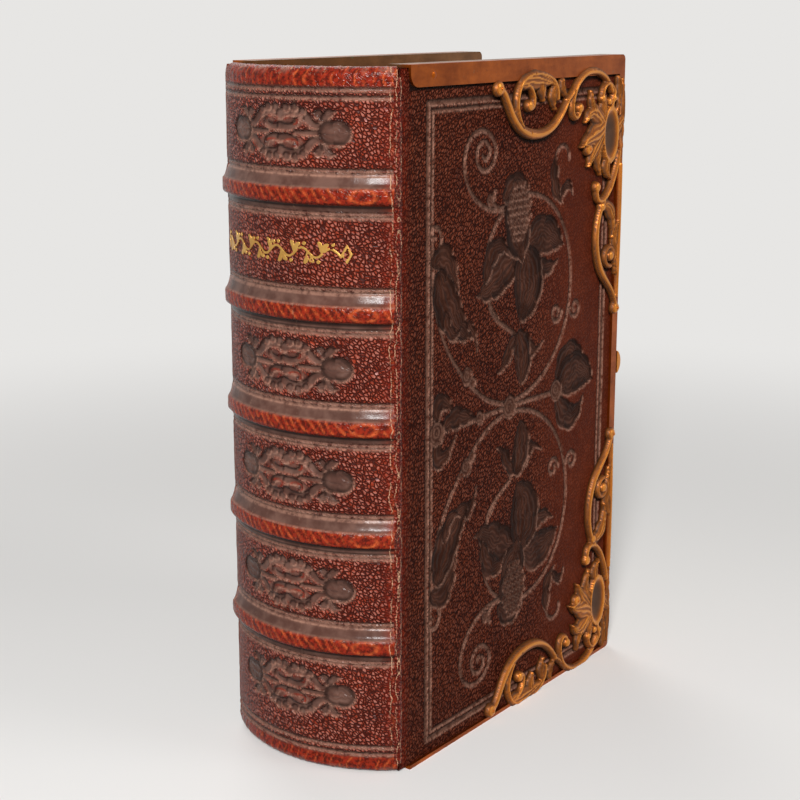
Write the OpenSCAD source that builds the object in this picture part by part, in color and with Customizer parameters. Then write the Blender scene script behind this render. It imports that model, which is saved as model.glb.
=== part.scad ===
// Antique leather book with a rounded, banded spine, brass rims, corner mounts and a clasp.
// Millimetres. The book stands on its tail: +Z to the head, +X to the fore-edge, front cover at -Y.

/* [Book] */
// Height of the covers, tail to head
book_h = 140; // [125:1:170]
// Width of a cover, joint to fore-edge
cover_w = 85.2; // [80:0.1:105]
// Thickness of the closed book over its rims
book_t = 43.3; // [38:0.1:56]
// How far the rounded spine stands out behind the joints
spine_round = 8; // [6:0.1:10]

/* [Covers] */
// Thickness of a board
board_t = 3; // [2:0.1:4]
// Thickness of the cover leather
leather_t = 0.7; // [0.5:0.05:1]
// Thickness of the pared leather turned in over the board's inner face
turn_t = 0.4; // [0.3:0.05:0.6]
// Width of the turned-in leather
turn_w = 9; // [7:0.5:12]
// How far a pastedown overlaps the turned-in leather
paste_lap = 4; // [2:0.5:5]
// Thickness of a pastedown
paste_t = 0.2; // [0.1:0.05:0.3]
// Distance from the joint to the board's spine edge
joint_w = 2.8; // [2.8:0.1:3.5]
// Overhang of the boards beyond the pages
square_w = 4; // [3.8:0.1:5]

/* [Rims] */
// Thickness of the brass sheet
rim_t = 0.6; // [0.4:0.05:0.8]
// Distance from the joint to the rim's ends
rim_start = 3; // [2.5:0.1:5]
// Width of the outer flange along the head
rim_head = 4.2; // [3:0.1:5]
// Width of the outer flange along the fore-edge
rim_fore = 2.4; // [1.5:0.1:3.5]
// Width of the outer flange along the tail
rim_tail = 0.8; // [0.7:0.1:3]
// Width of the inner flange along the head
rim_in_head = 3.4; // [2:0.1:3.6]
// Width of the inner flange along the fore-edge and the tail
rim_in_side = 2.4; // [1.5:0.1:3.5]
// Radius of the rim's outer corners
rim_corner_r = 1.2; // [0.8:0.1:2]
// Radius of the rounded lower end of the head flange
rim_end_r = 2.4; // [1:0.1:3]
// Distance from the joint to the rivet in the head flange
rivet_x = 10.4; // [6:0.1:20]
// Radius of the rivet's shank
rivet_r = 0.45; // [0.3:0.05:0.6]
// Height of a pin's or rivet's domed head
pin_head_h = 0.3; // [0.2:0.05:0.5]

/* [Spine] */
// Thickness of the spine leather
spine_t = 0.9; // [0.7:0.05:1.2]
// Thickness of the card liner inside the spine leather
liner_t = 0.7; // [0.5:0.05:1]
// Thickness of the mull and paper on the back of the pages
lining_t = 0.6; // [0.4:0.05:1]
// Gap of the hollow back, shut flat
hollow_gap = 0.2; // [0.1:0.05:0.4]
// Height of the lowest raised band's middle above the tail
band_first = 27.6; // [20:0.1:35]
// Distance from the highest raised band's middle to the head
band_last = 23.6; // [20:0.1:35]
// Height of a raised band over the spine leather
band_h = 1.3; // [0.8:0.1:1.8]
// Width of a raised band
band_w = 4; // [3:0.1:5]
// Thickness of the card strip inside a raised band
strip_t = 0.8; // [0.5:0.05:1.1]
// How far the headcaps stay inside the covers' height
cap_drop = 0.3; // [0.2:0.05:1]
// Radius of the headbands
headband_r = 1; // [0.7:0.1:1.2]

/* [Pages] */
// Depth of the hollow fore-edge
fore_hollow = 5; // [2:0.1:7]
// Gap between the pages and a pastedown
page_gap = 0.2; // [0.1:0.05:0.4]

/* [Tooling] */
// Depth of the blind tooling
tool_depth = 0.3; // [0.15:0.05:0.4]
// Width of the blind lines round the spine
fillet_w = 0.35; // [0.25:0.05:0.5]
// Length of a fleuron round the spine
fleuron_w = 29; // [24:0.5:32]
// Width of the arabesque's vines
vine_w = 0.8; // [0.5:0.1:1.1]
// Width of the outer line of the cover's frame
frame_w = 0.9; // [0.5:0.1:1.5]
// Width of the inner line of the cover's frame
frame_line_w = 0.4; // [0.3:0.1:0.8]
// Distance from the frame's outer line to its inner line
frame_gap = 0.8; // [0.5:0.1:1.5]
// Distance from the joint to the frame
frame_joint = 8.9; // [7:0.1:12]
// Distance from the fore-edge flange to the frame
frame_fore = 3.2; // [2:0.1:6]
// Distance from the head flange, and from the tail flange, to the frame
frame_end = 2.6; // [1.5:0.1:5]

/* [Corner mounts] */
// Length of a mount along the head or tail
mount_w = 53.4; // [46:0.1:58]
// Thickness of the filigree over the leather
mount_t = 1.2; // [0.9:0.1:1.5]
// Height of the filigree's shoulders under its ridges
shoulder_t = 0.7; // [0.5:0.1:0.8]
// Height of the beads on its face
bead_h = 0.5; // [0.3:0.1:0.8]
// Radius of the pins of the mounts and clasp plates
mount_pin_r = 0.35; // [0.25:0.05:0.5]
// Depth of those pins under the leather's face
pin_depth = 2.6; // [1.5:0.1:3]

/* [Clasp] */
// Height of the clasp's middle above the tail
clasp_z = 69.8; // [50:0.1:90]
// Height of the hinge plate and the keeper plate
plate_h = 9.6; // [9:0.1:12]
// Length of the clasp arm along the book's height
arm_h = 5.4; // [4.5:0.1:7]
// Thickness of the domed arm
arm_t = 1.6; // [1.2:0.1:2.4]
// Thickness of the hinge plate and the keeper plate
plate_t = 0.4; // [0.3:0.05:0.6]
// Gap between the latched arm and the keeper plate
arm_gap = 0.2; // [0.15:0.05:0.4]
// Radius of the clasp's knuckles
knuckle_r = 1.1; // [1:0.05:1.5]
// Radius of the clasp's hinge pin
clasp_pin_r = 0.5; // [0.4:0.05:0.6]
// Radial clearance of the hinge pin in the arm's knuckle
pin_clear = 0.06; // [0.03:0.01:0.1]
// How far the keeper's tooth reaches into the latched arm
tooth_in = 0.5; // [0.3:0.05:0.7]
// Clearance of the lifted arm over the tooth at rest
lift_clear = 0.3; // [0.2:0.05:0.5]

/* [Hidden] */
$fn = 48;

leather_colour = [0.36, 0.12, 0.07];
brass_colour = [0.72, 0.48, 0.2];
paper_colour = [0.86, 0.78, 0.6];
card_colour = [0.6, 0.5, 0.38];
gilt_colour = [0.83, 0.62, 0.28];
// Overlap of a cutter past what it cuts, and of two forms that fuse
cut = 1;
fuse = 0.1;

// Cover, measured from the rim's outer face inwards
rim_face = book_t / 2;
leather_face = rim_face - rim_t;
board_face = leather_face - leather_t;
board_in = board_face - board_t;
turn_face = board_in - turn_t;
rim_in_face = turn_face - rim_t;
page_half = turn_face - paste_t - page_gap;
board_end = rim_t + leather_t;
panel_tail = rim_tail;
panel_head = book_h - rim_head;
panel_mid = (panel_tail + panel_head) / 2;
turn_edge = board_end + turn_w;

// Spine, measured from the axis of its round outwards
spine_r = (leather_face * leather_face + spine_round * spine_round) / (2 * spine_round);
spine_x = spine_r - spine_round;
spine_half = asin(leather_face / spine_r);
liner_r = spine_r - spine_t;
lining_r = liner_r - liner_t - hollow_gap;
page_r = lining_r - lining_t;
joint_gap = 0.2;
spine_end = spine_half - joint_gap / spine_r * 180 / PI;
// Angles by which what lies inside the spine leather stops short of the joints
inner_short = 2;
headband_short = 4;
inner_end = spine_half - inner_short;
// A headcap's roll fills the square, just clear of the pages
cap_clear = 0.1;
cap_r = (square_w - cap_drop - cap_clear) / 2;
cap_z = cap_drop + cap_r;
headband_half = inner_end - headband_short;
// A headband lies on the pages, against the headcap's roll
headband_rise = square_w - cap_z;
headband_reach = cap_r + headband_r + cap_clear;
headband_x = spine_r - cap_r - sqrt(max(0, headband_reach * headband_reach - headband_rise * headband_rise));
band_count = 5;
band_z = [for (i = [0:band_count - 1]) band_first + i * (book_h - band_first - band_last) / (band_count - 1)];
// At each joint the bands are pared to the cover's face, clear of the opened cover
pare_clear = 0.05;
pare_y = leather_face - pare_clear;
// Section of a raised band: shares of its width and of its height
band_shape = [[-0.5, 0], [-0.44, 0.5], [-0.34, 0.85], [-0.16, 1],
    [0.16, 1], [0.34, 0.85], [0.44, 0.5], [0.5, 0]];
strip_inset = 0.5;
strip_w = band_w - 2 * strip_inset;
// Blind lines round the spine: offsets from a band's middle, and heights from each end
fillet_gaps = [1.5, 2.2];
band_fillets = [for (d = fillet_gaps) band_w / 2 + d];
cap_fillet_gaps = [0.5, 2];
end_fillets = [for (d = cap_fillet_gaps) cap_z + cap_r + d];
// A fleuron fills each compartment but the one for the title
function between(i) = (band_z[i] + band_z[i + 1]) / 2;
end_fleuron = 11.2;
fleuron_z = [band_z[0] - end_fleuron, between(0), between(1), between(2), band_z[4] + end_fleuron];
fleuron_drawn = 29;
fleuron_scale = fleuron_w / fleuron_drawn;

// Pages
page_fore = cover_w - square_w;
fore_r = (page_half * page_half + fore_hollow * fore_hollow) / (2 * fore_hollow);
shoulder_step = [0.5, 0.9];
shoulder_x = joint_w - shoulder_step[0];
shoulder_y = board_face - shoulder_step[1];

// Cover's frame, and the arabesque that fills it: the frame that it is drawn for, and its knot's offset
arabesque_drawn = [70.7, 129.8];
knot_offset = 4.2;
frame_right = cover_w - rim_fore - frame_fore;
frame_tail = panel_tail + frame_end;
frame_head = panel_head - frame_end;
arabesque_scale = min((frame_right - frame_joint) / arabesque_drawn[0],
    (frame_head - frame_tail) / arabesque_drawn[1]);
knot_x = (frame_joint + frame_right) / 2 - knot_offset * arabesque_scale;

// Corner mounts: places of their pins, from the fore-edge and from the panel's head or tail edge
mount_drawn = 53.4;
mount_scale = mount_w / mount_drawn;
mount_pins = mount_scale * [[52.4, 1.3], [1.9, 52.6], [16.2, 15.6]];
// Beads: places and radii
mount_bead_places = [[52.4, 1.3, 1.6], [40.9, 5.2, 1.3], [20.3, 6.6, 1.2], [10.5, 5, 1], [7.6, 5.8, 1],
    [5.4, 5.2, 0.9], [16.2, 15.6, 1.9], [11.9, 24.2, 1.3], [9.4, 28.8, 1.2], [5, 40.2, 1.3],
    [1.9, 52.6, 1.5]];
pin_proud = 0.1;
dome_spread = 1.6;

// Clasp
knuckle_gap = 0.15;
hinge_inset = 0.7;
arm_inset = 0.4;
hinge_x = cover_w + plate_t + knuckle_gap + knuckle_r;
hinge_y = board_in + knuckle_r + hinge_inset;
arm_in = plate_t + arm_gap;
arm_out = arm_in + arm_t;
arm_end = -rim_face + arm_inset;
arm_start = hinge_y - knuckle_r - arm_inset;
arm_dome = (arm_h * arm_h / 4 + arm_t * arm_t) / (2 * arm_t);
tooth_y = -(board_face + board_in) / 2;
tooth_top = arm_in + tooth_in;
tooth_w = 1;
tooth_h = 1.8;
tooth_side = 0.3;
tooth_over = 0.25;
arm_lift = asin((tooth_in + lift_clear) / (hinge_y - tooth_y));
// The arm's knuckle lies between the two knuckles of the hinge plate
tongue_h = 2.8;
tongue_t = 1.2;
tongue_gap = 0.2;
knuckle_h = (arm_h - tongue_h) / 2 - tongue_gap;
knuckle_z = (tongue_h + knuckle_h) / 2 + tongue_gap;
knuckle_web = 1.4 * knuckle_r;
hinge_pin_h = arm_h + 2 * tongue_gap;
// The plates lie on the rims' edges
plate_margin = [0.3, 0.1];
plate_out = rim_face - plate_margin[0];
plate_in = rim_in_face + plate_margin[1];
plate_slope = 1.4;
plate_pin_inset = 1.6;
plate_pin_z = plate_h / 2 - plate_pin_inset;

// The part's own frame: middle of the book's overall length and thickness, at the tail
x_low = -spine_round - band_h;
x_high = hinge_x + (cover_w + arm_out - hinge_x) * cos(arm_lift) + (hinge_y - arm_end) * sin(arm_lift);
mid_x = (x_low + x_high) / 2;

// Curves: points of a cubic through its control points, and of a spiral
function curve(a, b, c, d, n = 5) = [for (i = [0:n])
    let (t = i / n, s = 1 - t) s * s * s * a + 3 * s * s * t * b + 3 * s * t * t * c + t * t * t * d];
function spiral(centre, r0, r1, a0, a1, n = 9) = [for (i = [0:n])
    let (t = i / n, r = r0 + (r1 - r0) * t, a = a0 + (a1 - a0) * t) centre + r * [cos(a), sin(a)]];
function heading(p, i) = let (v = p[min(i + 1, len(p) - 1)] - p[max(i - 1, 0)]) v / norm(v);
function left_of(p, i) = let (h = heading(p, i)) [-h[1], h[0]];

// A line of changing width along points
module stroke(p, w0, w1) {
    n = len(p) - 1;
    polygon(concat(
        [for (i = [0:n]) p[i] + left_of(p, i) * (w0 + (w1 - w0) * i / n) / 2],
        [for (i = [n:-1:0]) p[i] - left_of(p, i) * (w0 + (w1 - w0) * i / n) / 2]));
}

// A leaf or petal: pointed at its tip, full near its base
function leaf_half(t, w) = max(0.12, w / 2 * sin(180 * pow(t, 0.75)));
module leaf_outline(p, w) {
    n = len(p) - 1;
    polygon(concat(
        [for (i = [0:n]) p[i] + left_of(p, i) * leaf_half(i / n, w)],
        [for (i = [n:-1:0]) p[i] - left_of(p, i) * leaf_half(i / n, w)]));
}
module leaf(a, b, c, d, w) leaf_outline(curve(a, b, c, d, 4), w);

module vine(a, b, c, d) stroke(curve(a, b, c, d), vine_w, vine_w);

module dot(at, r) translate(at) circle(r, $fn = 14);

// Everything is modelled from the joint line and stands in the part's own frame
module stand() translate([-mid_x, 0, 0]) children();
module rear_side() mirror([0, 1, 0]) children();

// A flat outline in X and Z, from one depth to another behind the front cover's face
module upright(y0, y1) translate([0, y1, 0]) rotate([90, 0, 0]) linear_extrude(y1 - y0) children();

// A sector of the spine between two radii
module spine_sector(half) translate([spine_x, 0, 0]) rotate([0, 0, 180 - half])
    rotate_extrude(angle = 2 * half, $fn = 64) children();

module text_block() stand() color(paper_colour) difference() {
    translate([0, 0, square_w]) linear_extrude(book_h - 2 * square_w) page_outline();
    // The head and tail stay flat, the fore-edge is hollow
    translate([page_fore - fore_hollow + fore_r, 0, 0]) cylinder(h = book_h, r = fore_r, $fn = 128);
}
module page_outline() difference() {
    union() {
        intersection() {
            translate([spine_x, 0]) circle(page_r, $fn = 128);
            translate([-spine_round, -shoulder_y]) square([spine_round + shoulder_x, 2 * shoulder_y]);
        }
        translate([shoulder_x - fuse, -page_half]) square([page_fore - shoulder_x + fuse, 2 * page_half]);
    }
    translate([page_fore, -page_half - cut]) square([square_w, 2 * (page_half + cut)]);
}

module spine_lining() stand() color(card_colour) spine_sector(inner_end)
    translate([page_r, square_w]) square([lining_t, book_h - 2 * square_w]);

module hollow_liner() stand() color(card_colour) spine_sector(inner_end)
    translate([liner_r - liner_t, square_w]) square([liner_t, book_h - 2 * square_w]);

// Section of a raised band, standing out from a radius
module band_section(r, w, h) polygon([for (p = band_shape) [r + h * p[1], w * p[0]]]);

module band_strip(i) stand() color(card_colour) spine_sector(inner_end)
    translate([0, band_z[i]]) band_section(liner_r, strip_w, strip_t);

module headband(z, up) stand() color("firebrick") spine_sector(headband_half)
    translate([min(headband_x, page_r - headband_r), z]) intersection() {
        circle(headband_r);
        translate([-headband_r, up > 0 ? 0 : -headband_r]) square([2 * headband_r, headband_r]);
    }
module headband_head() headband(book_h - square_w, 1);
module headband_tail() headband(square_w, -1);

module spine_line(z) translate([spine_r - tool_depth, z - fillet_w / 2]) square([tool_depth + cut, fillet_w]);
module spine_profile() difference() {
    union() {
        translate([liner_r, cap_z]) square([spine_t, book_h - 2 * cap_z]);
        for (z = [cap_z, book_h - cap_z]) translate([spine_r - cap_r, z]) circle(cap_r, $fn = 16);
        for (z = band_z) translate([0, z]) band_section(spine_r, band_w, band_h);
    }
    for (z = band_z, d = band_fillets, s = [-1, 1]) spine_line(z + s * d);
    for (d = end_fillets) {
        spine_line(d);
        spine_line(book_h - d);
    }
}

// A quarter of a blind fleuron, to the right of its middle and above its stem
module fleuron_quarter() {
    // Acanthus that thins to the stem and turns up
    stroke(curve([-0.2, 3.3], [2, 4.4], [4.6, 4.2], [6.2, 2.5]), 1.7, 1.6);
    stroke(curve([6.1, 2.6], [7.1, 1.2], [8.5, 0.7], [9.5, 2.2]), 1.6, 0.7);
    stroke(curve([-0.2, 1.1], [1.4, 0.7], [3.8, 0.9], [3.7, 2.3]), 1.4, 0.9);
    scallop([1.2, 4.5], 0.75);
    scallop([3.2, 4.6], 0.7);
    scallop([5, 3.9], 0.65);
    // Pair of leaflets
    leaf([9.3, 1.9], [9.3, 3.2], [8.2, 3.9], [7.1, 3.5], 1.5);
    leaf([9.4, 1.9], [9.7, 3.4], [10.7, 4], [11.8, 3.9], 1.4);
    // Lobe of the end's trefoil
    leaf([10.4, 0.2], [11.6, 1.8], [13, 2.2], [13.6, 0.6], 2);
}
module fleuron() {
    for (x = [0, 1], z = [0, 1]) mirror([x, 0]) mirror([0, z]) fleuron_quarter();
    for (x = [0, 1]) mirror([x, 0]) {
        stroke([[3.4, 0], [10.8, 0]], 0.7, 1.1);
        scallop([13.7, 0], 1.1);
    }
}
module scallop(at, r) translate(at) circle(r, $fn = 8);
// Fleurons pressed into the face of the spine leather
module fleurons() intersection() {
    for (z = fleuron_z) translate([0, 0, z]) rotate([0, -90, 0]) linear_extrude(spine_round + band_h)
        rotate(90) scale(fleuron_scale) fleuron();
    translate([spine_x, 0, 0]) rotate_extrude($fn = 64)
        translate([spine_r - tool_depth, 0]) square([tool_depth + cut, book_h]);
}

module band_paring() for (y = [-pare_y - band_h - cut, pare_y]) translate([-spine_r, y, -cut])
    cube([2 * spine_r, band_h + cut, book_h + 2 * cut]);

module spine_leather() stand() color(leather_colour) difference() {
    spine_sector(spine_end) spine_profile();
    band_paring();
    fleurons();
    // Channels for the strips, open at the joints
    spine_sector(spine_half + 1) for (z = band_z) translate([0, z]) band_section(liner_r, strip_w, strip_t);
}

module cover_board() color(card_colour) difference() {
    translate([joint_w, -board_face, board_end])
        cube([cover_w - board_end - joint_w, board_t, book_h - 2 * board_end]);
    fastener_holes();
}

// Outline of the cover's frame, grown outwards by d
module frame_box(d) translate([frame_joint - d, frame_tail - d])
    square([frame_right - frame_joint + 2 * d, frame_head - frame_tail + 2 * d]);
module cover_frame() {
    difference() {
        frame_box(0);
        frame_box(-frame_w);
    }
    difference() {
        frame_box(-frame_w - frame_gap);
        frame_box(-frame_w - frame_gap - frame_line_w);
    }
}

// Upper half of the arabesque, measured from its middle knot
module arabesque_half() {
    // Great ring and the vine to the left leaf
    vine([2, 1.2], [14, 2], [24, 11], [24, 24]);
    vine([24, 24], [24, 36], [16, 44.3], [5, 44.3]);
    vine([-2, 1.2], [-9, 2.2], [-13, 5.5], [-16.5, 8.6]);
    vine([-16.5, 8.6], [-24, 14.5], [-30, 24], [-28.6, 34.5]);
    vine([-28.6, 34], [-25, 37], [-25.5, 41.5], [-29, 40.8]);
    dot([-16.5, 9.5], 1.7);
    dot([-14.5, 7.8], 1.1);
    // Left acanthus leaf
    leaf([-28.5, 33], [-26, 37], [-22, 34], [-20, 27], 4.6);
    leaf([-26.5, 32], [-25, 26], [-22, 19], [-13.5, 17.2], 7.2);
    leaf([-24, 24], [-24, 20], [-21.5, 17], [-18.5, 19.5], 2.6);
    leaf([-16.5, 21], [-15, 19], [-13.5, 18], [-13, 14.5], 1.6);
    // Great flower: scaled base, tube, calyx and petals
    leaf([-3, 43.5], [-1, 47], [4, 48], [6.5, 43.5], 4.6);
    leaf([1, 43], [1, 39], [3, 35], [4.4, 30], 8.6);
    leaf([5, 32], [8, 27], [7, 22], [3.2, 17.4], 9.6);
    leaf([3, 32], [-2, 31], [-8, 25], [-13.2, 25.3], 6.8);
    leaf([-10, 27], [-9, 34], [-5, 37], [-0.5, 32], 4.2);
    leaf([5, 32], [12, 38], [16, 34], [20.8, 32], 7.4);
    leaf([8, 31], [11, 27], [15, 27], [18.5, 29], 3.6);
    // Inner ring and the little lily
    vine([-2, 42], [-10, 39.5], [-14, 27], [-5.5, 19.8]);
    vine([-8.5, 22.5], [-6, 18], [0, 17.5], [2.5, 14]);
    leaf([3, 14.8], [-1, 14], [-1, 9], [-5, 8], 3);
    leaf([3, 15.6], [5.5, 11], [5.5, 7], [4, 3.6], 5.6);
    leaf([4, 14.8], [8, 13], [7, 8], [13, 12], 3);
    // End spiral
    vine([-1.5, 42.2], [-12, 40.5], [-19.5, 48], [-18.2, 53.5]);
    vine([-18.2, 53.5], [-17, 59.5], [-8.5, 60], [-7, 54.5]);
    stroke(spiral([-11, 53.8], 4.1, 1, 10, -470, 16), vine_w, vine_w);
    dot([-8.5, 44.3], 1.3);
    // Scrolls on the ring, and the bud in the corner
    stroke(spiral([18.3, 17.5], 2.3, 0.8, 0, -380), vine_w, vine_w);
    stroke(spiral([26.3, 17.5], 2.3, 0.8, 180, 560), vine_w, vine_w);
    vine([16.5, 49], [16.5, 54.5], [22.5, 54.5], [22.3, 50.5]);
    leaf([17, 51], [15.5, 46], [17.5, 42.5], [20, 41], 3.2);
    leaf([19.5, 42], [20.5, 45], [23.5, 46], [24, 42.5], 2);
    // Upper petals of the side flowers
    leaf([20, 1.4], [21, 7.5], [28, 10], [31, 3.5], 5.4);
    leaf([-26.5, 1.6], [-29, 7], [-24, 7.5], [-20.5, 2], 3.4);
}
module arabesque() translate([knot_x, panel_mid]) scale(arabesque_scale) {
    arabesque_half();
    mirror([0, 1]) arabesque_half();
    dot([0, 0], 2.4);
    vine([2, 0], [7, 0.4], [13, -0.4], [18, 0]);
    vine([-2, 0], [-6, 0.4], [-12, -0.4], [-16, 0]);
    dot([-11.5, 0], 1.4);
    dot([19.2, 0], 2.3);
    leaf([21, 0], [25, 4], [31, 3], [35.3, -0.5], 8);
    dot([-27, -0.2], 2.4);
    leaf([-24.5, 0], [-22, 3], [-17, 1], [-13, 0], 4);
}

// One skin: outer sheet, edges folded over the board, turn-ins, and the free ends beside the headcaps
module cover_leather() color(leather_colour) difference() {
    union() {
        translate([0, 0, rim_t]) linear_extrude(book_h - 2 * rim_t) leather_sheet(cover_w - rim_t);
        translate([0, 0, cap_drop]) linear_extrude(book_h - 2 * cap_drop) leather_sheet(rim_start);
        difference() {
            translate([joint_w, -board_face, rim_t])
                cube([cover_w - rim_t - joint_w, board_t + turn_t, book_h - 2 * rim_t]);
            translate([joint_w - cut, -board_face - cut, board_end])
                cube([cover_w - board_end - joint_w + cut, board_t + cut, book_h - 2 * board_end]);
            turn_in_window();
        }
    }
    upright(-leather_face - cut, -leather_face + tool_depth) {
        cover_frame();
        arabesque();
    }
    fastener_holes();
}
module leather_sheet(right) {
    slant_x = joint_gap + leather_t / tan(spine_half);
    polygon([[joint_gap, -leather_face], [right, -leather_face],
        [right, -board_face], [slant_x, -board_face]]);
}

// The window between the turn-ins
module turn_in_window() translate([joint_w - cut, -board_in - fuse, turn_edge])
    cube([cover_w - turn_edge - joint_w + cut, turn_t + cut, book_h - 2 * turn_edge]);

// Paper over the board's inner face: level with the turn-ins, then lapped over them
module cover_pastedown() color(paper_colour) {
    lap_edge = turn_edge - paste_lap;
    translate([joint_w, -board_in, turn_edge])
        cube([cover_w - turn_edge - joint_w, turn_t, book_h - 2 * turn_edge]);
    translate([joint_w, -turn_face, lap_edge])
        cube([cover_w - lap_edge - joint_w, paste_t, book_h - 2 * lap_edge]);
}

// Outline of the cover inside the rim, with its outer corners rounded
module rim_outline() {
    r = rim_corner_r;
    translate([rim_start, 0]) square([cover_w - rim_start - r, book_h]);
    translate([cover_w - r - cut, r]) square([r + cut, book_h - 2 * r]);
    for (z = [r, book_h - r]) translate([cover_w - r, z]) circle(r, $fn = 24);
}
module rim_flange(head, fore, tail) difference() {
    rim_outline();
    translate([rim_start - cut, tail]) square([cover_w - fore - rim_start + cut, book_h - head - tail]);
}
module cover_rim() color(brass_colour) difference() {
    union() {
        upright(-rim_face, -leather_face) difference() {
            rim_flange(rim_head, rim_fore, rim_tail);
            // Rounded lower end of the head flange
            translate([rim_start - cut, panel_head - cut]) difference() {
                square([rim_end_r + cut, rim_end_r + cut]);
                translate([rim_end_r + cut, rim_end_r + cut]) circle(rim_end_r);
                translate([0, rim_end_r + cut]) square([cut, cut]);
            }
        }
        upright(-rim_face, -rim_in_face) rim_flange(rim_t, rim_t, rim_t);
        upright(-turn_face, -rim_in_face) rim_flange(rim_in_head, rim_in_side, rim_in_side);
    }
    fastener_holes();
}
module fastener_holes() {
    corner_pin_holes();
    rivet_hole();
    clasp_pin_holes();
}

// A pin along Y with a domed head in front of its seat
module pin(r, seat, end) {
    translate([0, seat, 0]) rotate([-90, 0, 0]) cylinder(h = end - seat, r = r, $fn = 20);
    pin_dome(r, seat);
}
module pin_dome(r, seat) intersection() {
    translate([0, seat + dome_spread * r, 0]) sphere(dome_spread * r + pin_head_h, $fn = 24);
    translate([-3 * r, seat - pin_head_h - cut, -3 * r]) cube([6 * r, pin_head_h + cut, 6 * r]);
}
module rivet_hole() translate([rivet_x, 0, panel_head + rim_head / 2]) rotate([90, 0, 0])
    cylinder(h = rim_face + cut, r = rivet_r, $fn = 20);
module cover_rivet() color(brass_colour) translate([rivet_x, 0, panel_head + rim_head / 2]) {
    pin(rivet_r, -rim_face, -rim_in_face);
    translate([0, -rim_face - rim_in_face, 0]) mirror([0, 1, 0]) pin_dome(rivet_r, -rim_face);
}

// Corner mounts: a along the cover from the fore-edge, b from the panel's head or tail edge.
// Each line and leaf has its full width at the shoulders. Its ridge has a share k of that width,
// and stops short of its ends.
function drawn_in(p, k) = let (n = len(p) - 1, s = (1 - k) / 2) [for (i = [0:n])
    i == 0 ? p[0] + s * (p[1] - p[0]) : i == n ? p[n] + s * (p[n - 1] - p[n]) : p[i]];
module line(p, w0, w1, k) {
    q = drawn_in(p, k);
    stroke(q, k * w0, k * w1);
    translate(q[0]) circle(k * w0 / 2, $fn = 12);
    translate(q[len(q) - 1]) circle(k * w1 / 2, $fn = 12);
}
module scroll(a, b, c, d, w0, w1, k) line(curve(a, b, c, d), w0, w1, k);
module whorl(centre, r0, r1, a0, a1, w, k) line(spiral(centre, r0, r1, a0, a1), w, w, k);
module petal(a, b, c, d, w, k) leaf_outline(drawn_in(curve(a, b, c, d, 6), k), k * w);
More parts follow.
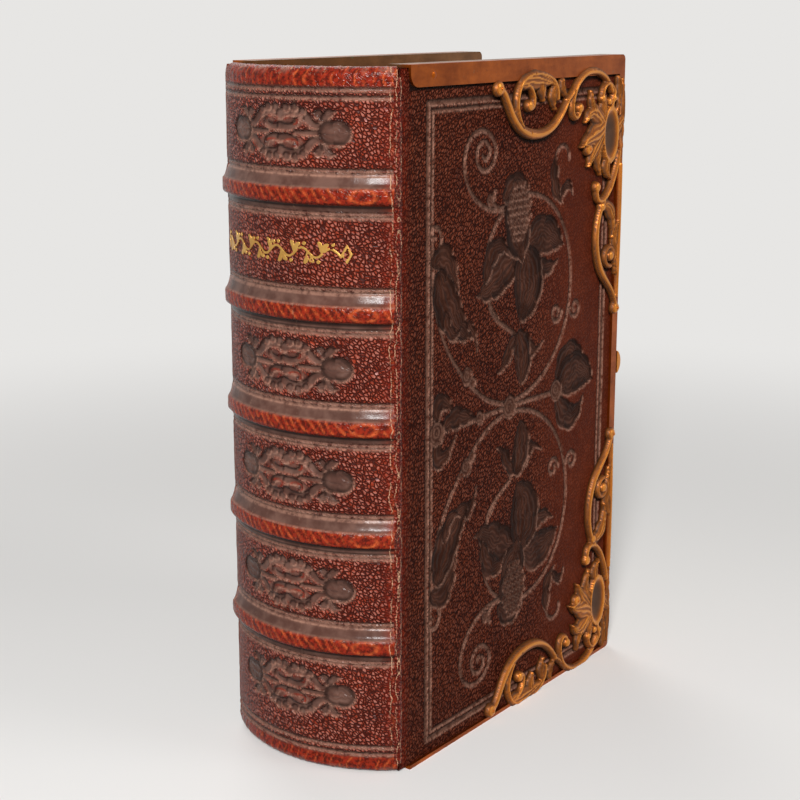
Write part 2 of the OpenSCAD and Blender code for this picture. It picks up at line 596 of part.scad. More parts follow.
module mount_plan(k) {
    // Long scroll along the head, and the loop that it carries
    scroll([52, 1.3], [48.6, 2.2], [48.2, 9.6], [40, 10.9], 1.7, 2.3, k);
    scroll([40, 10.9], [33.5, 12], [29, 9.6], [25.4, 4.6], 2.3, 1.4, k);
    scroll([43.6, 9.2], [47.4, 5.5], [46, -1.1], [39, -1.2], 1.3, 1.3, k);
    scroll([39, -1.2], [33.4, -1.3], [29.4, 0.4], [29.8, 4.2], 1.3, 1.1, k);
    petal([44.6, 1], [41, -0.4], [35, -0.2], [31, 1.4], 4, k);
    petal([36.6, 0.6], [36, 1.6], [35.6, 2.8], [35.6, 4.4], 2.8, k);
    petal([31, 1.6], [31.6, 3.2], [31.6, 4.8], [30.8, 6.4], 2.4, k);
    scroll([43, 0.6], [38.6, 1.4], [38.4, 5.8], [40.8, 5.9], 1.1, 1, k);
    // Upright leaf, then the second scroll with its hook
    petal([27.6, 0.2], [28.1, 1.6], [27.4, 3], [25.4, 4.6], 2, k);
    scroll([25.6, 4.6], [23.6, 3.6], [22, 1.8], [19.4, 0.2], 1.2, 1.3, k);
    scroll([20.2, 6.9], [20.8, 9.6], [24.2, 9.2], [23.4, 5.2], 1.2, 1.5, k);
    scroll([23.4, 5.2], [22.6, 1.2], [18.6, -1.2], [14.6, -1], 1.5, 1.8, k);
    scroll([14.6, -1], [11, -0.9], [8, 0.6], [6.2, 3.6], 1.8, 1.3, k);
    scroll([10.6, 5.2], [10.6, 1.6], [7, 0.4], [5, 4], 1.3, 1.2, k);
    scroll([5, 3.8], [5.8, 5.6], [6.4, 7], [6.6, 9.4], 1.5, 2, k);
    petal([9.9, 4], [9.8, 6.4], [9.4, 8.4], [9.2, 11.4], 2.8, k);
    // Leafage round the cartouche
    petal([9.5, 10.5], [13, 8.6], [15.4, 6.6], [15.6, 3.2], 3.4, k);
    petal([9, 11], [12.5, 7.6], [15.8, 7], [17.6, 9.8], 4.2, k);
    petal([9.4, 10], [11.4, 13.2], [15.4, 13.2], [19.2, 15], 5.2, k);
    petal([10, 12], [12.6, 15], [14.4, 17], [16, 19.4], 3.8, k);
    petal([10.2, 14.6], [12.4, 16.8], [12.2, 19.2], [10.6, 21.6], 2.8, k);
    petal([6.6, 17], [8.4, 19.4], [8, 21.6], [6, 22.8], 2.8, k);
    petal([3.4, 0.4], [2.4, 2], [2.6, 5.2], [3.6, 8.4], 2.2, k);
    petal([1.4, 1], [0.8, 6], [0.9, 12], [1.6, 20.5], 1.8, k);
    petal([1, 9.6], [2.6, 10.6], [3.8, 12.4], [5, 15], 3.2, k);
    cartouche(k);
    // Hook under the cartouche, and the long scroll down the fore-edge
    scroll([11.9, 24.6], [12.4, 28.2], [8.6, 28.4], [5.6, 24.6], 1.4, 1.6, k);
    scroll([5.6, 24.6], [4.2, 22.6], [2.6, 19.6], [2.4, 17], 1.6, 1.3, k);
    scroll([8.4, 27.4], [12.6, 32], [12, 39], [8.8, 43.2], 1.4, 2, k);
    scroll([8.8, 43.2], [6, 46.6], [3, 47.8], [1.9, 52.2], 2, 1.1, k);
    petal([8.8, 28.6], [5.2, 28.4], [3.4, 31.4], [4.4, 36.2], 3.4, k);
    whorl([5.2, 40], 2.6, 0.9, 100, -280, 1.2, k);
    petal([2, 33], [3.4, 35.4], [3.6, 38.6], [2.4, 44.6], 2.4, k);
    line([[1.4, 20], [1.2, 30], [1.3, 40], [1.7, 50]], 1.2, 1.1, k);
}
module cartouche(k) translate([6.8, 13])
    polygon([for (i = [0:11]) [(1.4 + 2 * k) * cos(30 * i), (3.4 + 3 * k) * sin(30 * i)]]);
module mount_beads() for (p = mount_scale * mount_bead_places) translate([p[0], p[1], 0]) {
    cylinder(h = mount_t, r = p[2], $fn = 16);
    translate([0, 0, mount_t]) bead(0.85 * p[2]);
}
// A dome on the face of a mount
module bead(r) {
    big = (r * r + bead_h * bead_h) / (2 * bead_h);
    intersection() {
        translate([0, 0, bead_h - big]) sphere(big, $fn = 16);
        translate([-2 * r, -2 * r, 0]) cube([4 * r, 4 * r, 2 * bead_h]);
    }
}
module mount_solid() difference() {
    union() {
        linear_extrude(shoulder_t) scale(mount_scale) mount_plan(1);
        linear_extrude(mount_t) scale(mount_scale) mount_plan(0.55);
        mount_beads();
    }
    for (p = mount_pins) translate([p[0], p[1], -cut])
        cylinder(h = mount_t + bead_h + 2 * cut, r = mount_pin_r, $fn = 16);
}
// Where a mount lies: its corner at the fore-edge, b running towards the book's middle
module at_mount(head) translate([cover_w, -leather_face, head ? panel_head : panel_tail])
    mirror([1, 0, 0]) mirror([0, 0, head ? 1 : 0]) rotate([90, 0, 0]) children();
module corner_mount(head) color(gilt_colour) difference() {
    intersection() {
        at_mount(head) mount_solid();
        upright(-leather_face - 3 * mount_t, -leather_face) square([cover_w, book_h]);
    }
    upright(-rim_face, -leather_face + cut) rim_flange(rim_head, rim_fore, rim_tail);
}
module corner_pin(p, top) translate([p[0], p[1], -pin_depth])
    cylinder(h = pin_depth + top, r = mount_pin_r, $fn = 16);
module corner_pin_holes() for (head = [false, true]) at_mount(head) for (p = mount_pins)
    corner_pin(p, rim_t + cut);
module corner_pins() color(brass_colour) for (head = [false, true]) at_mount(head) for (p = mount_pins)
    corner_pin(p, mount_t + bead_h + pin_proud);

// Keeper on the front rim and hinge plate on the rear rim, at the middle of the fore-edge
module fore_plate() {
    mid = -(plate_out + plate_in) / 2;
    top = plate_h / 2;
    side = top - plate_slope;
    translate([cover_w, 0, clasp_z]) rotate([90, 0, 90]) linear_extrude(plate_t)
        polygon([[-plate_out, -side], [mid, -top], [-plate_in, -side],
            [-plate_in, side], [mid, top], [-plate_out, side]]);
}
module fore_pin_places(y) for (s = [-1, 1]) translate([cover_w, y, clasp_z + s * plate_pin_z])
    rotate([0, 0, 90]) children();
module clasp_pin_holes() fore_pin_places(tooth_y) translate([0, -plate_t - cut, 0]) rotate([-90, 0, 0])
    cylinder(h = pin_depth + plate_t + cut, r = mount_pin_r, $fn = 16);
module fore_pins() fore_pin_places(tooth_y) translate([0, -plate_t - pin_proud, 0]) rotate([-90, 0, 0])
    cylinder(h = pin_depth + plate_t + pin_proud, r = mount_pin_r, $fn = 16);
module clasp_keeper() stand() color(brass_colour) difference() {
    union() {
        fore_plate();
        translate([cover_w + plate_t - fuse, tooth_y - tooth_w / 2, clasp_z - tooth_h / 2])
            cube([tooth_top - plate_t + fuse, tooth_w, tooth_h]);
    }
    clasp_pin_holes();
}
module keeper_pins() stand() color(brass_colour) fore_pins();

module hinge_plate_pins() stand() color(brass_colour) rear_side() fore_pins();
module clasp_hinge_plate() stand() color(brass_colour) difference() {
    union() {
        rear_side() fore_plate();
        for (s = [-1, 1]) translate([hinge_x, hinge_y, clasp_z + s * knuckle_z]) {
            cylinder(h = knuckle_h, r = knuckle_r, center = true, $fn = 32);
            translate([cover_w - hinge_x, -knuckle_web / 2, -knuckle_h / 2])
                cube([knuckle_r, knuckle_web, knuckle_h]);
        }
    }
    rear_side() clasp_pin_holes();
    translate([hinge_x, hinge_y, clasp_z]) cylinder(h = book_h, r = clasp_pin_r, center = true, $fn = 24);
}
module clasp_hinge_pin() stand() color(brass_colour) translate([hinge_x, hinge_y, clasp_z])
    cylinder(h = hinge_pin_h, r = clasp_pin_r, center = true, $fn = 24);

// The arm rests just lifted off the keeper's tooth
module clasp_arm() stand() color(gilt_colour) translate([hinge_x, hinge_y, clasp_z])
    rotate([0, 0, arm_lift]) translate([-hinge_x, -hinge_y, -clasp_z]) latched_arm();
module latched_arm() difference() {
    union() {
        translate([0, arm_start, 0]) rotate([90, 0, 0]) linear_extrude(arm_start - arm_end) arm_section();
        translate([hinge_x, hinge_y, clasp_z]) cylinder(h = tongue_h, r = knuckle_r, center = true, $fn = 32);
        translate([cover_w + arm_in, arm_start - cut, clasp_z - tongue_h / 2])
            cube([tongue_t, hinge_y - arm_start + cut, tongue_h]);
    }
    translate([hinge_x, hinge_y, clasp_z])
        cylinder(h = book_h, r = clasp_pin_r + pin_clear, center = true, $fn = 24);
    translate([cover_w + arm_in - cut, tooth_y, clasp_z])
        tooth_pocket(cut + tooth_in + tooth_over, tooth_w + 2 * tooth_side, tooth_h + 2 * tooth_side);
}
module tooth_pocket(depth, w, h) translate([0, -w / 2, -h / 2]) cube([depth, w, h]);
module arm_section() intersection() {
    translate([cover_w + arm_out - arm_dome, clasp_z]) circle(arm_dome, $fn = 64);
    translate([cover_w + arm_in, clasp_z - arm_h / 2]) square([arm_t, arm_h]);
}

module front_board() stand() cover_board();
module front_leather() stand() cover_leather();
module front_pastedown() stand() cover_pastedown();
module front_rim() stand() cover_rim();
module front_rivet() stand() cover_rivet();
module front_corner_head() stand() corner_mount(true);
module front_corner_tail() stand() corner_mount(false);
module front_corner_pins() stand() corner_pins();
module rear_board() stand() rear_side() cover_board();
module rear_leather() stand() rear_side() cover_leather();
module rear_pastedown() stand() rear_side() cover_pastedown();
module rear_rim() stand() rear_side() cover_rim();
module rear_rivet() stand() rear_side() cover_rivet();
module rear_corner_head() stand() rear_side() corner_mount(true);
module rear_corner_tail() stand() rear_side() corner_mount(false);
module rear_corner_pins() stand() rear_side() corner_pins();

text_block();
spine_lining();
hollow_liner();
band_strip(0);  // band_strip_1
band_strip(1);  // band_strip_2
band_strip(2);  // band_strip_3
band_strip(3);  // band_strip_4
band_strip(4);  // band_strip_5
headband_head();
headband_tail();
spine_leather();
front_board();
front_leather();
front_pastedown();
front_rim();
front_rivet();
front_corner_head();
front_corner_tail();
front_corner_pins();
rear_board();
rear_leather();
rear_pastedown();
rear_rim();
rear_rivet();
rear_corner_head();
rear_corner_tail();
rear_corner_pins();
clasp_keeper();
keeper_pins();
clasp_hinge_plate();
hinge_plate_pins();
clasp_hinge_pin();
clasp_arm();
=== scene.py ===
import math
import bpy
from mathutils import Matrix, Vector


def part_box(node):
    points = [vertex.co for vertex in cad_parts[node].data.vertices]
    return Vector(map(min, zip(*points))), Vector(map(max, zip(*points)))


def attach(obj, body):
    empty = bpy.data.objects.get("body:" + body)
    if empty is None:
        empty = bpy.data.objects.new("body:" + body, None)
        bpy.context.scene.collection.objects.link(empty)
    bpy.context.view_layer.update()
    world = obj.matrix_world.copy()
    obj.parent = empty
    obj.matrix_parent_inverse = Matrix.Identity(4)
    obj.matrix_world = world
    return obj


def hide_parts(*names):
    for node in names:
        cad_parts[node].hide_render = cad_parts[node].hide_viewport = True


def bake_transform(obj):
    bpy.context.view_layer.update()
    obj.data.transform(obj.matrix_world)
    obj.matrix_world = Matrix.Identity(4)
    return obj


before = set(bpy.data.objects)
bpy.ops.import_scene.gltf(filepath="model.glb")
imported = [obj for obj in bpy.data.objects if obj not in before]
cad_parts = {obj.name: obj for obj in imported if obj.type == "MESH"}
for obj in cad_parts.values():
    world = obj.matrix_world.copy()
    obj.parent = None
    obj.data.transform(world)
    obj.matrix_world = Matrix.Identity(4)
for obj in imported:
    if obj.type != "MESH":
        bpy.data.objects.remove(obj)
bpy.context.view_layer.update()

from types import SimpleNamespace

import bmesh
import bpy
import numpy as np
from mathutils import Matrix, Vector

# Sizes in millimetres, as in the part's source: x from the joint line towards the fore-edge,
# y = 0 at the middle of the thickness, z = 0 at the tail.
BOOK_H = 140.0
COVER_W = 85.2
LEATHER_FACE = 21.05
BOARD_FACE = 20.35
BOARD_IN = 17.35
TURN_FACE = 16.95
TURN_EDGE = 10.3
BOARD_START = 2.8
RIM_T = 0.6
RIM_HEAD = 4.2
RIM_TAIL = 0.8
PANEL_HEAD = BOOK_H - RIM_HEAD
PANEL_MID = (RIM_TAIL + PANEL_HEAD) / 2
SPINE_ROUND = 8.0
SPINE_R = (LEATHER_FACE ** 2 + SPINE_ROUND ** 2) / (2 * SPINE_ROUND)
SPINE_X = SPINE_R - SPINE_ROUND
SPINE_HALF = math.asin(LEATHER_FACE / SPINE_R)
SPINE_ARC = 2 * SPINE_HALF * SPINE_R
LINER_R = SPINE_R - 0.9
LINER_GAP = 0.02
CAP_R = 1.8
CAP_Z = 2.1
BAND_Z = [27.6 + 22.2 * i for i in range(5)]
TITLE_Z = (BAND_Z[3] + BAND_Z[4]) / 2
# The double fillet's outer edges: left, right, low and high
FILLET_BOX = (8.9, 79.6, 3.4, 133.2)
KNOT = (40.05, PANEL_MID)
MID_X = COVER_W - 1000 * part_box("front_rim")[1].x
RIM_FROM = MID_X + 1000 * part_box("front_rim")[0].x
PAGES_HALF = 1000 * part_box("rear_pastedown")[0].y
JOINT_GAP = 0.25
COVER_PITCH = 0.36
FILLET_PITCH = 0.18
SPINE_PITCH = 0.29
MOUNT_PITCH = 0.25
GILT_PITCH = 0.16


def place(points):
    """Book coordinates in millimetres to the part's frame in metres."""
    return (np.asarray(points, float) - (MID_X, 0, 0)) / 1000


def smooth(low, high, x):
    t = np.clip((x - low) / (high - low), 0, 1)
    return t * t * (3 - 2 * t)


def hump(x, at, width):
    return np.exp(-((x - at) / width) ** 2)


def ripple(x, period, phase=0.0):
    return 0.5 + 0.5 * np.cos(2 * math.pi * (x / period + phase))


def bezier(a, b, c, d, n=20):
    t = np.linspace(0, 1, n + 1)[:, None]
    a, b, c, d = (np.asarray(p, float) for p in (a, b, c, d))
    return (1 - t) ** 3 * a + 3 * (1 - t) ** 2 * t * b + 3 * (1 - t) * t * t * c + t ** 3 * d


def spiral(centre, r0, r1, start, end, n=40):
    t = np.linspace(0, 1, n + 1)
    r, a = r0 + (r1 - r0) * t, np.radians(start + (end - start) * t)
    return np.stack([centre[0] + r * np.cos(a), centre[1] + r * np.sin(a)], 1)


def dot(at):
    """A line so short that what is drawn along it is round."""
    return [at, (at[0] + 1e-3, at[1])]


def wander(shape, cells, seed):
    """Soft random hills from -1 to 1 over a grid."""
    rng = np.random.default_rng(seed)
    coarse = rng.uniform(-1, 1, (cells[0] + 1, cells[1] + 1))
    u = np.linspace(0, cells[0], shape[0])
    v = np.linspace(0, cells[1], shape[1])
    i, j = np.minimum(u.astype(int), cells[0] - 1), np.minimum(v.astype(int), cells[1] - 1)
    s, t = smooth(0, 1, u - i)[:, None], smooth(0, 1, v - j)[None, :]
    near = coarse[i][:, j] * (1 - s) + coarse[i + 1][:, j] * s
    far = coarse[i][:, j + 1] * (1 - s) + coarse[i + 1][:, j + 1] * s
    return near * (1 - t) + far * t


def steps(low, high, pitch):
    return np.linspace(low, high, max(1, round((high - low) / pitch)) + 1)


def graded(*stops):
    """Grid lines from place to place; the pitch stands between two places."""
    parts = [steps(stops[i], stops[i + 2], stops[i + 1]) for i in range(0, len(stops) - 2, 2)]
    return np.concatenate([parts[0]] + [part[1:] for part in parts[1:]])


def pairs(loop):
    """Neighbours round a closed loop."""
    return list(zip(loop, loop[1:] + loop[:1]))


def grid_faces(rows, columns):
    i = (np.arange(rows - 1)[:, None] * columns + np.arange(columns - 1)).ravel()
    return np.stack([i, i + columns, i + columns + 1, i + 1], 1).tolist()


def grid_rim(rows, columns):
    """The points round the outside of a grid, in turn."""
    last = (rows - 1) * columns
    return (list(range(0, last, columns)) + list(range(last, last + columns - 1))
            + list(range(last + columns - 1, columns - 1, -columns)) + list(range(columns - 1, 0, -1)))


# Relief: heights over a grid, drawn on like tooling

class Relief:
    """Heights in millimetres over a grid, with marks for the finish."""

    def __init__(self, xs, zs, marks=()):
        self.xs, self.zs = np.asarray(xs), np.asarray(zs)
        self.x, self.z = np.meshgrid(xs, zs, indexing="ij")
        self.height = np.zeros(self.x.shape)
        self.inside = np.full(self.x.shape, -9.0)
        self.marks = {name: np.zeros(self.x.shape) for name in marks}

    def trace(self, points, half):
        """What lies round a line in a window of the grid: near is the distance in half widths, edge that from
        the line's edge, along the place on the line, wide its half width, and under is 1 below it and
        to the right."""
        points = np.asarray(points, float)
        half = np.broadcast_to(np.asarray(half, float), (len(points),))
        reach = half.max() * 1.3 + 0.8
        low, high = points.min(0) - reach, points.max(0) + reach
        i0, i1 = np.searchsorted(self.xs, [low[0], high[0]])
        j0, j1 = np.searchsorted(self.zs, [low[1], high[1]])
        window = (slice(i0, i1), slice(j0, j1))
        x, z = self.x[window], self.z[window]
        near = np.full(x.shape, 99.0)
        along, side, edge, wide, under = (np.full(x.shape, v) for v in (0.0, 0.0, 99.0, 1.0, 0.0))
        length = np.r_[0, np.cumsum(np.linalg.norm(np.diff(points, axis=0), axis=1))]
        for i in range(len(points) - 1):
            a, d = points[i], points[i + 1] - points[i]
            t = np.clip(((x - a[0]) * d[0] + (z - a[1]) * d[1]) / max(d @ d, 1e-9), 0, 1)
            ox, oz = x - a[0] - t * d[0], z - a[1] - t * d[1]
            w = np.maximum(half[i] + (half[i + 1] - half[i]) * t, 1e-3)
            far = np.hypot(ox, oz)
            q = far / w
            closer = q < near
            near[closer], edge[closer], wide[closer] = q[closer], (far - w)[closer], w[closer]
            along[closer] = ((length[i] + t * (length[i + 1] - length[i])) / length[-1])[closer]
            side[closer] = np.sign(d[0] * oz - d[1] * ox)[closer]
            under[closer] = ((0.5 * ox - 0.86 * oz) / np.maximum(far, 1e-6))[closer]
        return SimpleNamespace(window=window, near=near, edge=edge, along=along, side=side, wide=wide,
                               under=under)

    def press(self, found, height, stamp=1.0, pale=0.0, veins=0.0):
        """A stamped form laid over what is there: painted shade along its upper edge, and along its lower one
        a pale edge that is both rubbed and a painted highlight. pale, the tone inside it, is rubbed wear and
        a painted sheen.
        """
        window, edge, under = found.window, found.edge, found.under
        cover = 1 - smooth(-0.16, 0.2, edge)
        marks = {name: grid[window] for name, grid in self.marks.items()}
        self.height[window] = self.height[window] * (1 - cover) + height * cover
        marks["stamp"][:] = np.maximum(marks["stamp"] * (1 - cover), cover * stamp)
        # Painted shade: a dark line along the form's upper left edge.
        dark = hump(edge, 0.0, 0.28) * smooth(-0.4, 0.3, -under)
        marks["painted_shade"][:] = np.maximum(marks["painted_shade"] * (1 - cover), dark)
        # Painted highlight on the rubbed mark: a pale line along the form's lower right edge.
        rim = hump(edge, 0.16, 0.22) * smooth(-0.1, 0.6, under)
        marks["rubbed_and_highlight"][:] = np.maximum(marks["rubbed_and_highlight"] * (1 - cover), np.maximum(rim, pale * cover))
        marks["veins"][:] = marks["veins"] * (1 - cover) + veins * cover

    def mark(self, name, values, window=...):
        """Brings a mark up to these values."""
        self.marks[name][window] = np.maximum(self.marks[name][window], values)

    def trail(self, at, reach, stamp):
        """A burnished field with an unpressed curl in it."""
        du, dz = (self.x - at[0]) / reach[0], (self.z - at[1]) / reach[1]
        far = np.hypot(du, dz)
        curl = hump(far, 0.5, 0.12) * (du + dz > -0.3)
        field = 1 - smooth(0.85, 1.1, far)
        self.mark("stamp", stamp * field * (1 - curl))
        self.mark("red", field * curl)
        self.height += 0.12 * field * curl

    def groove(self, points, w0, w1, depth, pale=0.45):
        found = self.trace(points, np.linspace(w0 / 2, w1 / 2, len(points)))
        self.press(found, -depth * (1 - 0.4 * np.minimum(found.near, 1) ** 2), pale=pale)

    def stud(self, at, r, depth):
        """A round boss with turned rings."""
        found = self.trace(dot(at), r)
        turned = ripple(found.near * r, max(0.85, r / 2.5))
        self.press(found, -depth * (1 - 0.6 * turned), stamp=0.9)
        self.mark("rubbed_and_highlight", 0.5 * turned * (found.edge < 0), found.window)

    def leaf(self, a, b, c, d, width, depth, lobes=4):
        """A stamped leaf: jagged edge, a mid rib, fine veins, and painted shade in the pits between its
        lobes.
        """
        points = bezier(a, b, c, d, 28)
        t = np.linspace(0, 1, len(points))
        teeth = lobes + 1.6
        saw = (teeth * t + 0.2) % 1.0
        half = np.maximum(width / 2 * np.sin(math.pi * t ** 0.75), 0.12)
        half *= 0.7 + 0.5 * smooth(0, 0.75, saw) * (1 - smooth(0.8, 1, saw))
        found = self.trace(points, half)
        near, along, side = found.near, found.along, found.side
        inner = np.minimum(near, 1)
        across = inner * side
        swell = 0.1 * hump(near * found.wide, 0, 0.35)
        swell += 0.12 * ripple(across, 2 / max(2, round(width / 1.6)))
        wavy = 0.16 * np.sin(9 * along + 2 * across) + 0.1 * np.sin(23 * along)
        self.press(found, -depth + 0.3 * depth * inner ** 2 + swell,
                   veins=(across + wavy) * max(1.6, width / 1.9))
        # Painted shade: dark in the pits between the lobes.
        pits = smooth(0.4, 0.85, inner) * ripple(teeth * along + 0.35 * side, 1.0) * (near < 1)
        self.mark("painted_shade", 0.85 * min(1, width / 3) * pits, found.window)


def show(name, data):
    made = bpy.data.objects.new(name, data)
    bpy.context.scene.collection.objects.link(made)
    return made


def piece(name, points, faces, body, finish, marks=None, rear=False):
    """A smooth mesh in book coordinates that rides on a body; rear mirrors it to the rear cover."""
    points = np.array(points, float)
    if rear:
        points[:, 1] *= -1
        faces = [face[::-1] for face in faces]
    mesh = bpy.data.meshes.new(name)
    mesh.from_pydata(place(points).tolist(), [], faces)
    mesh.polygons.foreach_set("use_smooth", [True] * len(mesh.polygons))
    for key, values in (marks or {}).items():
        layer = mesh.attributes.new(key, "FLOAT", "POINT")
        layer.data.foreach_set("value", np.asarray(values, np.float32).ravel())
    mesh.update()
    mesh.materials.append(finish)
    made = show(name, mesh)
    if body:
        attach(made, body)
    return made


# Finishes

class Wire:
    """A socket of a finish; arithmetic on it adds Math nodes."""

    def __init__(self, finish, socket):
        self.finish, self.socket = finish, socket

    def math(self, operation, *values):
        return self.finish.node("ShaderNodeMath", {"operation": operation}, dict(enumerate(values)))

    def __add__(self, other):
        return self.math("ADD", self, other)

    def __mul__(self, other):
        return self.math("MULTIPLY", self, other)

    def __sub__(self, other):
        return self.math("SUBTRACT", self, other)

    def __rsub__(self, other):
        return self.math("SUBTRACT", other, self)

    def __truediv__(self, other):
        return self.math("DIVIDE", self, other)

    def __rtruediv__(self, other):
        return self.math("DIVIDE", other, self)

    __radd__, __rmul__ = __add__, __mul__

    def between(self, low, high):
        """0 below low, 1 above high, smooth between."""
        return self.finish.node("ShaderNodeMapRange", {"interpolation_type": "SMOOTHSTEP"},
                                {"Value": self, "From Min": low, "From Max": high})

    def line(self, at, width):
        """1 where the value is at a place, 0 away from it."""
        return 1 - (self - at).absolute().between(0.3 * width, width)

    def wave(self):
        """One cycle of a sine for each 1 of the value, from 0 to 1."""
        return self.math("SINE", self * (2 * math.pi)) * 0.5 + 0.5

    def absolute(self):
        return self.math("ABSOLUTE", self)

    def larger(self, other):
        return self.math("MAXIMUM", self, other)


class Finish:
    """A material, or a world, and the short calls that its nodes are written with."""

    INPUTS = {"colour": "Base Color", "rough": "Roughness", "metal": "Metallic", "normal": "Normal",
              "specular": "Specular IOR Level"}

    def __init__(self, name, kind="materials"):
        self.block = getattr(bpy.data, kind).new(name)
        self.block.use_nodes = True
        self.tree = self.block.node_tree
        self.tree.nodes.clear()

    def node(self, kind, settings=None, values=None, output=0):
        node = self.tree.nodes.new(kind)
        for key, value in (settings or {}).items():
            setattr(node, key, value)
        for key, value in (values or {}).items():
            if isinstance(value, Wire):
                self.tree.links.new(value.socket, node.inputs[key])
            else:
                node.inputs[key].default_value = value
        return None if output is None else Wire(self, node.outputs[output])

    def mark(self, name):
        return self.node("ShaderNodeAttribute", {"attribute_name": name}, output="Fac")

    def where(self, stretch=(1, 1, 1)):
        """Place on the piece in millimetres, stretched."""
        at = self.node("ShaderNodeTexCoord", output="Object")
        return self.node("ShaderNodeVectorMath", {"operation": "MULTIPLY"},
                         {0: at, 1: tuple(1000 * s for s in stretch)})

    def axis(self, name):
        return self.node("ShaderNodeSeparateXYZ", None, {0: self.where()}, output=name)

    def noise(self, size, detail=3, rough=0.55, stretch=(1, 1, 1)):
        """Noise from 0 to 1 with grains of a size in millimetres."""
        values = {"Vector": self.where(stretch), "Scale": 1 / size, "Detail": detail, "Roughness": rough}
        return self.node("ShaderNodeTexNoise", None, values)

    def cells(self, size, long, turn):
        """Distance from the edges of pebbles, which are longer along one way and turned in the surface."""
        at = self.node("ShaderNodeMapping", {"vector_type": "TEXTURE"},
                       {"Vector": self.where(), "Rotation": turn, "Scale": (1, 1, long)})
        values = {"Vector": at, "Scale": 1 / size}
        return self.node("ShaderNodeTexVoronoi", {"feature": "DISTANCE_TO_EDGE"}, values)

    def mix(self, share, a, b):
        a, b = ((*c, 1) if isinstance(c, tuple) else c for c in (a, b))
        return self.node("ShaderNodeMix", {"data_type": "RGBA"}, {0: share, 6: a, 7: b}, output=2)

    def bump(self, height, strength=1.0):
        """height in millimetres"""
        return self.node("ShaderNodeBump", None, {"Height": height, "Distance": 0.001, "Strength": strength})

    def shader(self, **values):
        values = {self.INPUTS[k]: (*v, 1) if isinstance(v, tuple) else v for k, v in values.items()}
        return self.node("ShaderNodeBsdfPrincipled", None, values)

    def seen(self):
        """1 for rays from the camera and for those that metal mirrors, 0 for light on the book."""
        straight, mirrored = (self.node("ShaderNodeLightPath", output=f"Is {ray} Ray")
                              for ray in ("Camera", "Glossy"))
        return straight.larger(mirrored)

    def done(self, surface, output="ShaderNodeOutputMaterial"):
        self.node(output, None, {"Surface": surface}, output=None)
        return self.block


def shade(colour, share):
    return tuple(share * c for c in colour)


LEATHER_MARKS = ("stamp", "rubbed_and_highlight", "painted_shade", "veins", "red", "tool", "crease", "joint")
# Pale tone of rubbed wear and of painted highlights
RUBBED_AND_HIGHLIGHT = (0.36, 0.185, 0.13)
VEIN = (0.1, 0.04, 0.026)
DARK_RED = (0.055, 0.0045, 0.002)
BRIGHT_RED = (0.23, 0.016, 0.005)
TOOLED_RED = (0.56, 0.105, 0.028)
BARE_HIDE = (0.58, 0.36, 0.22)
# Dark tone of the painted shade
PAINTED_SHADE_TONE = (0.007, 0.0025, 0.0015)


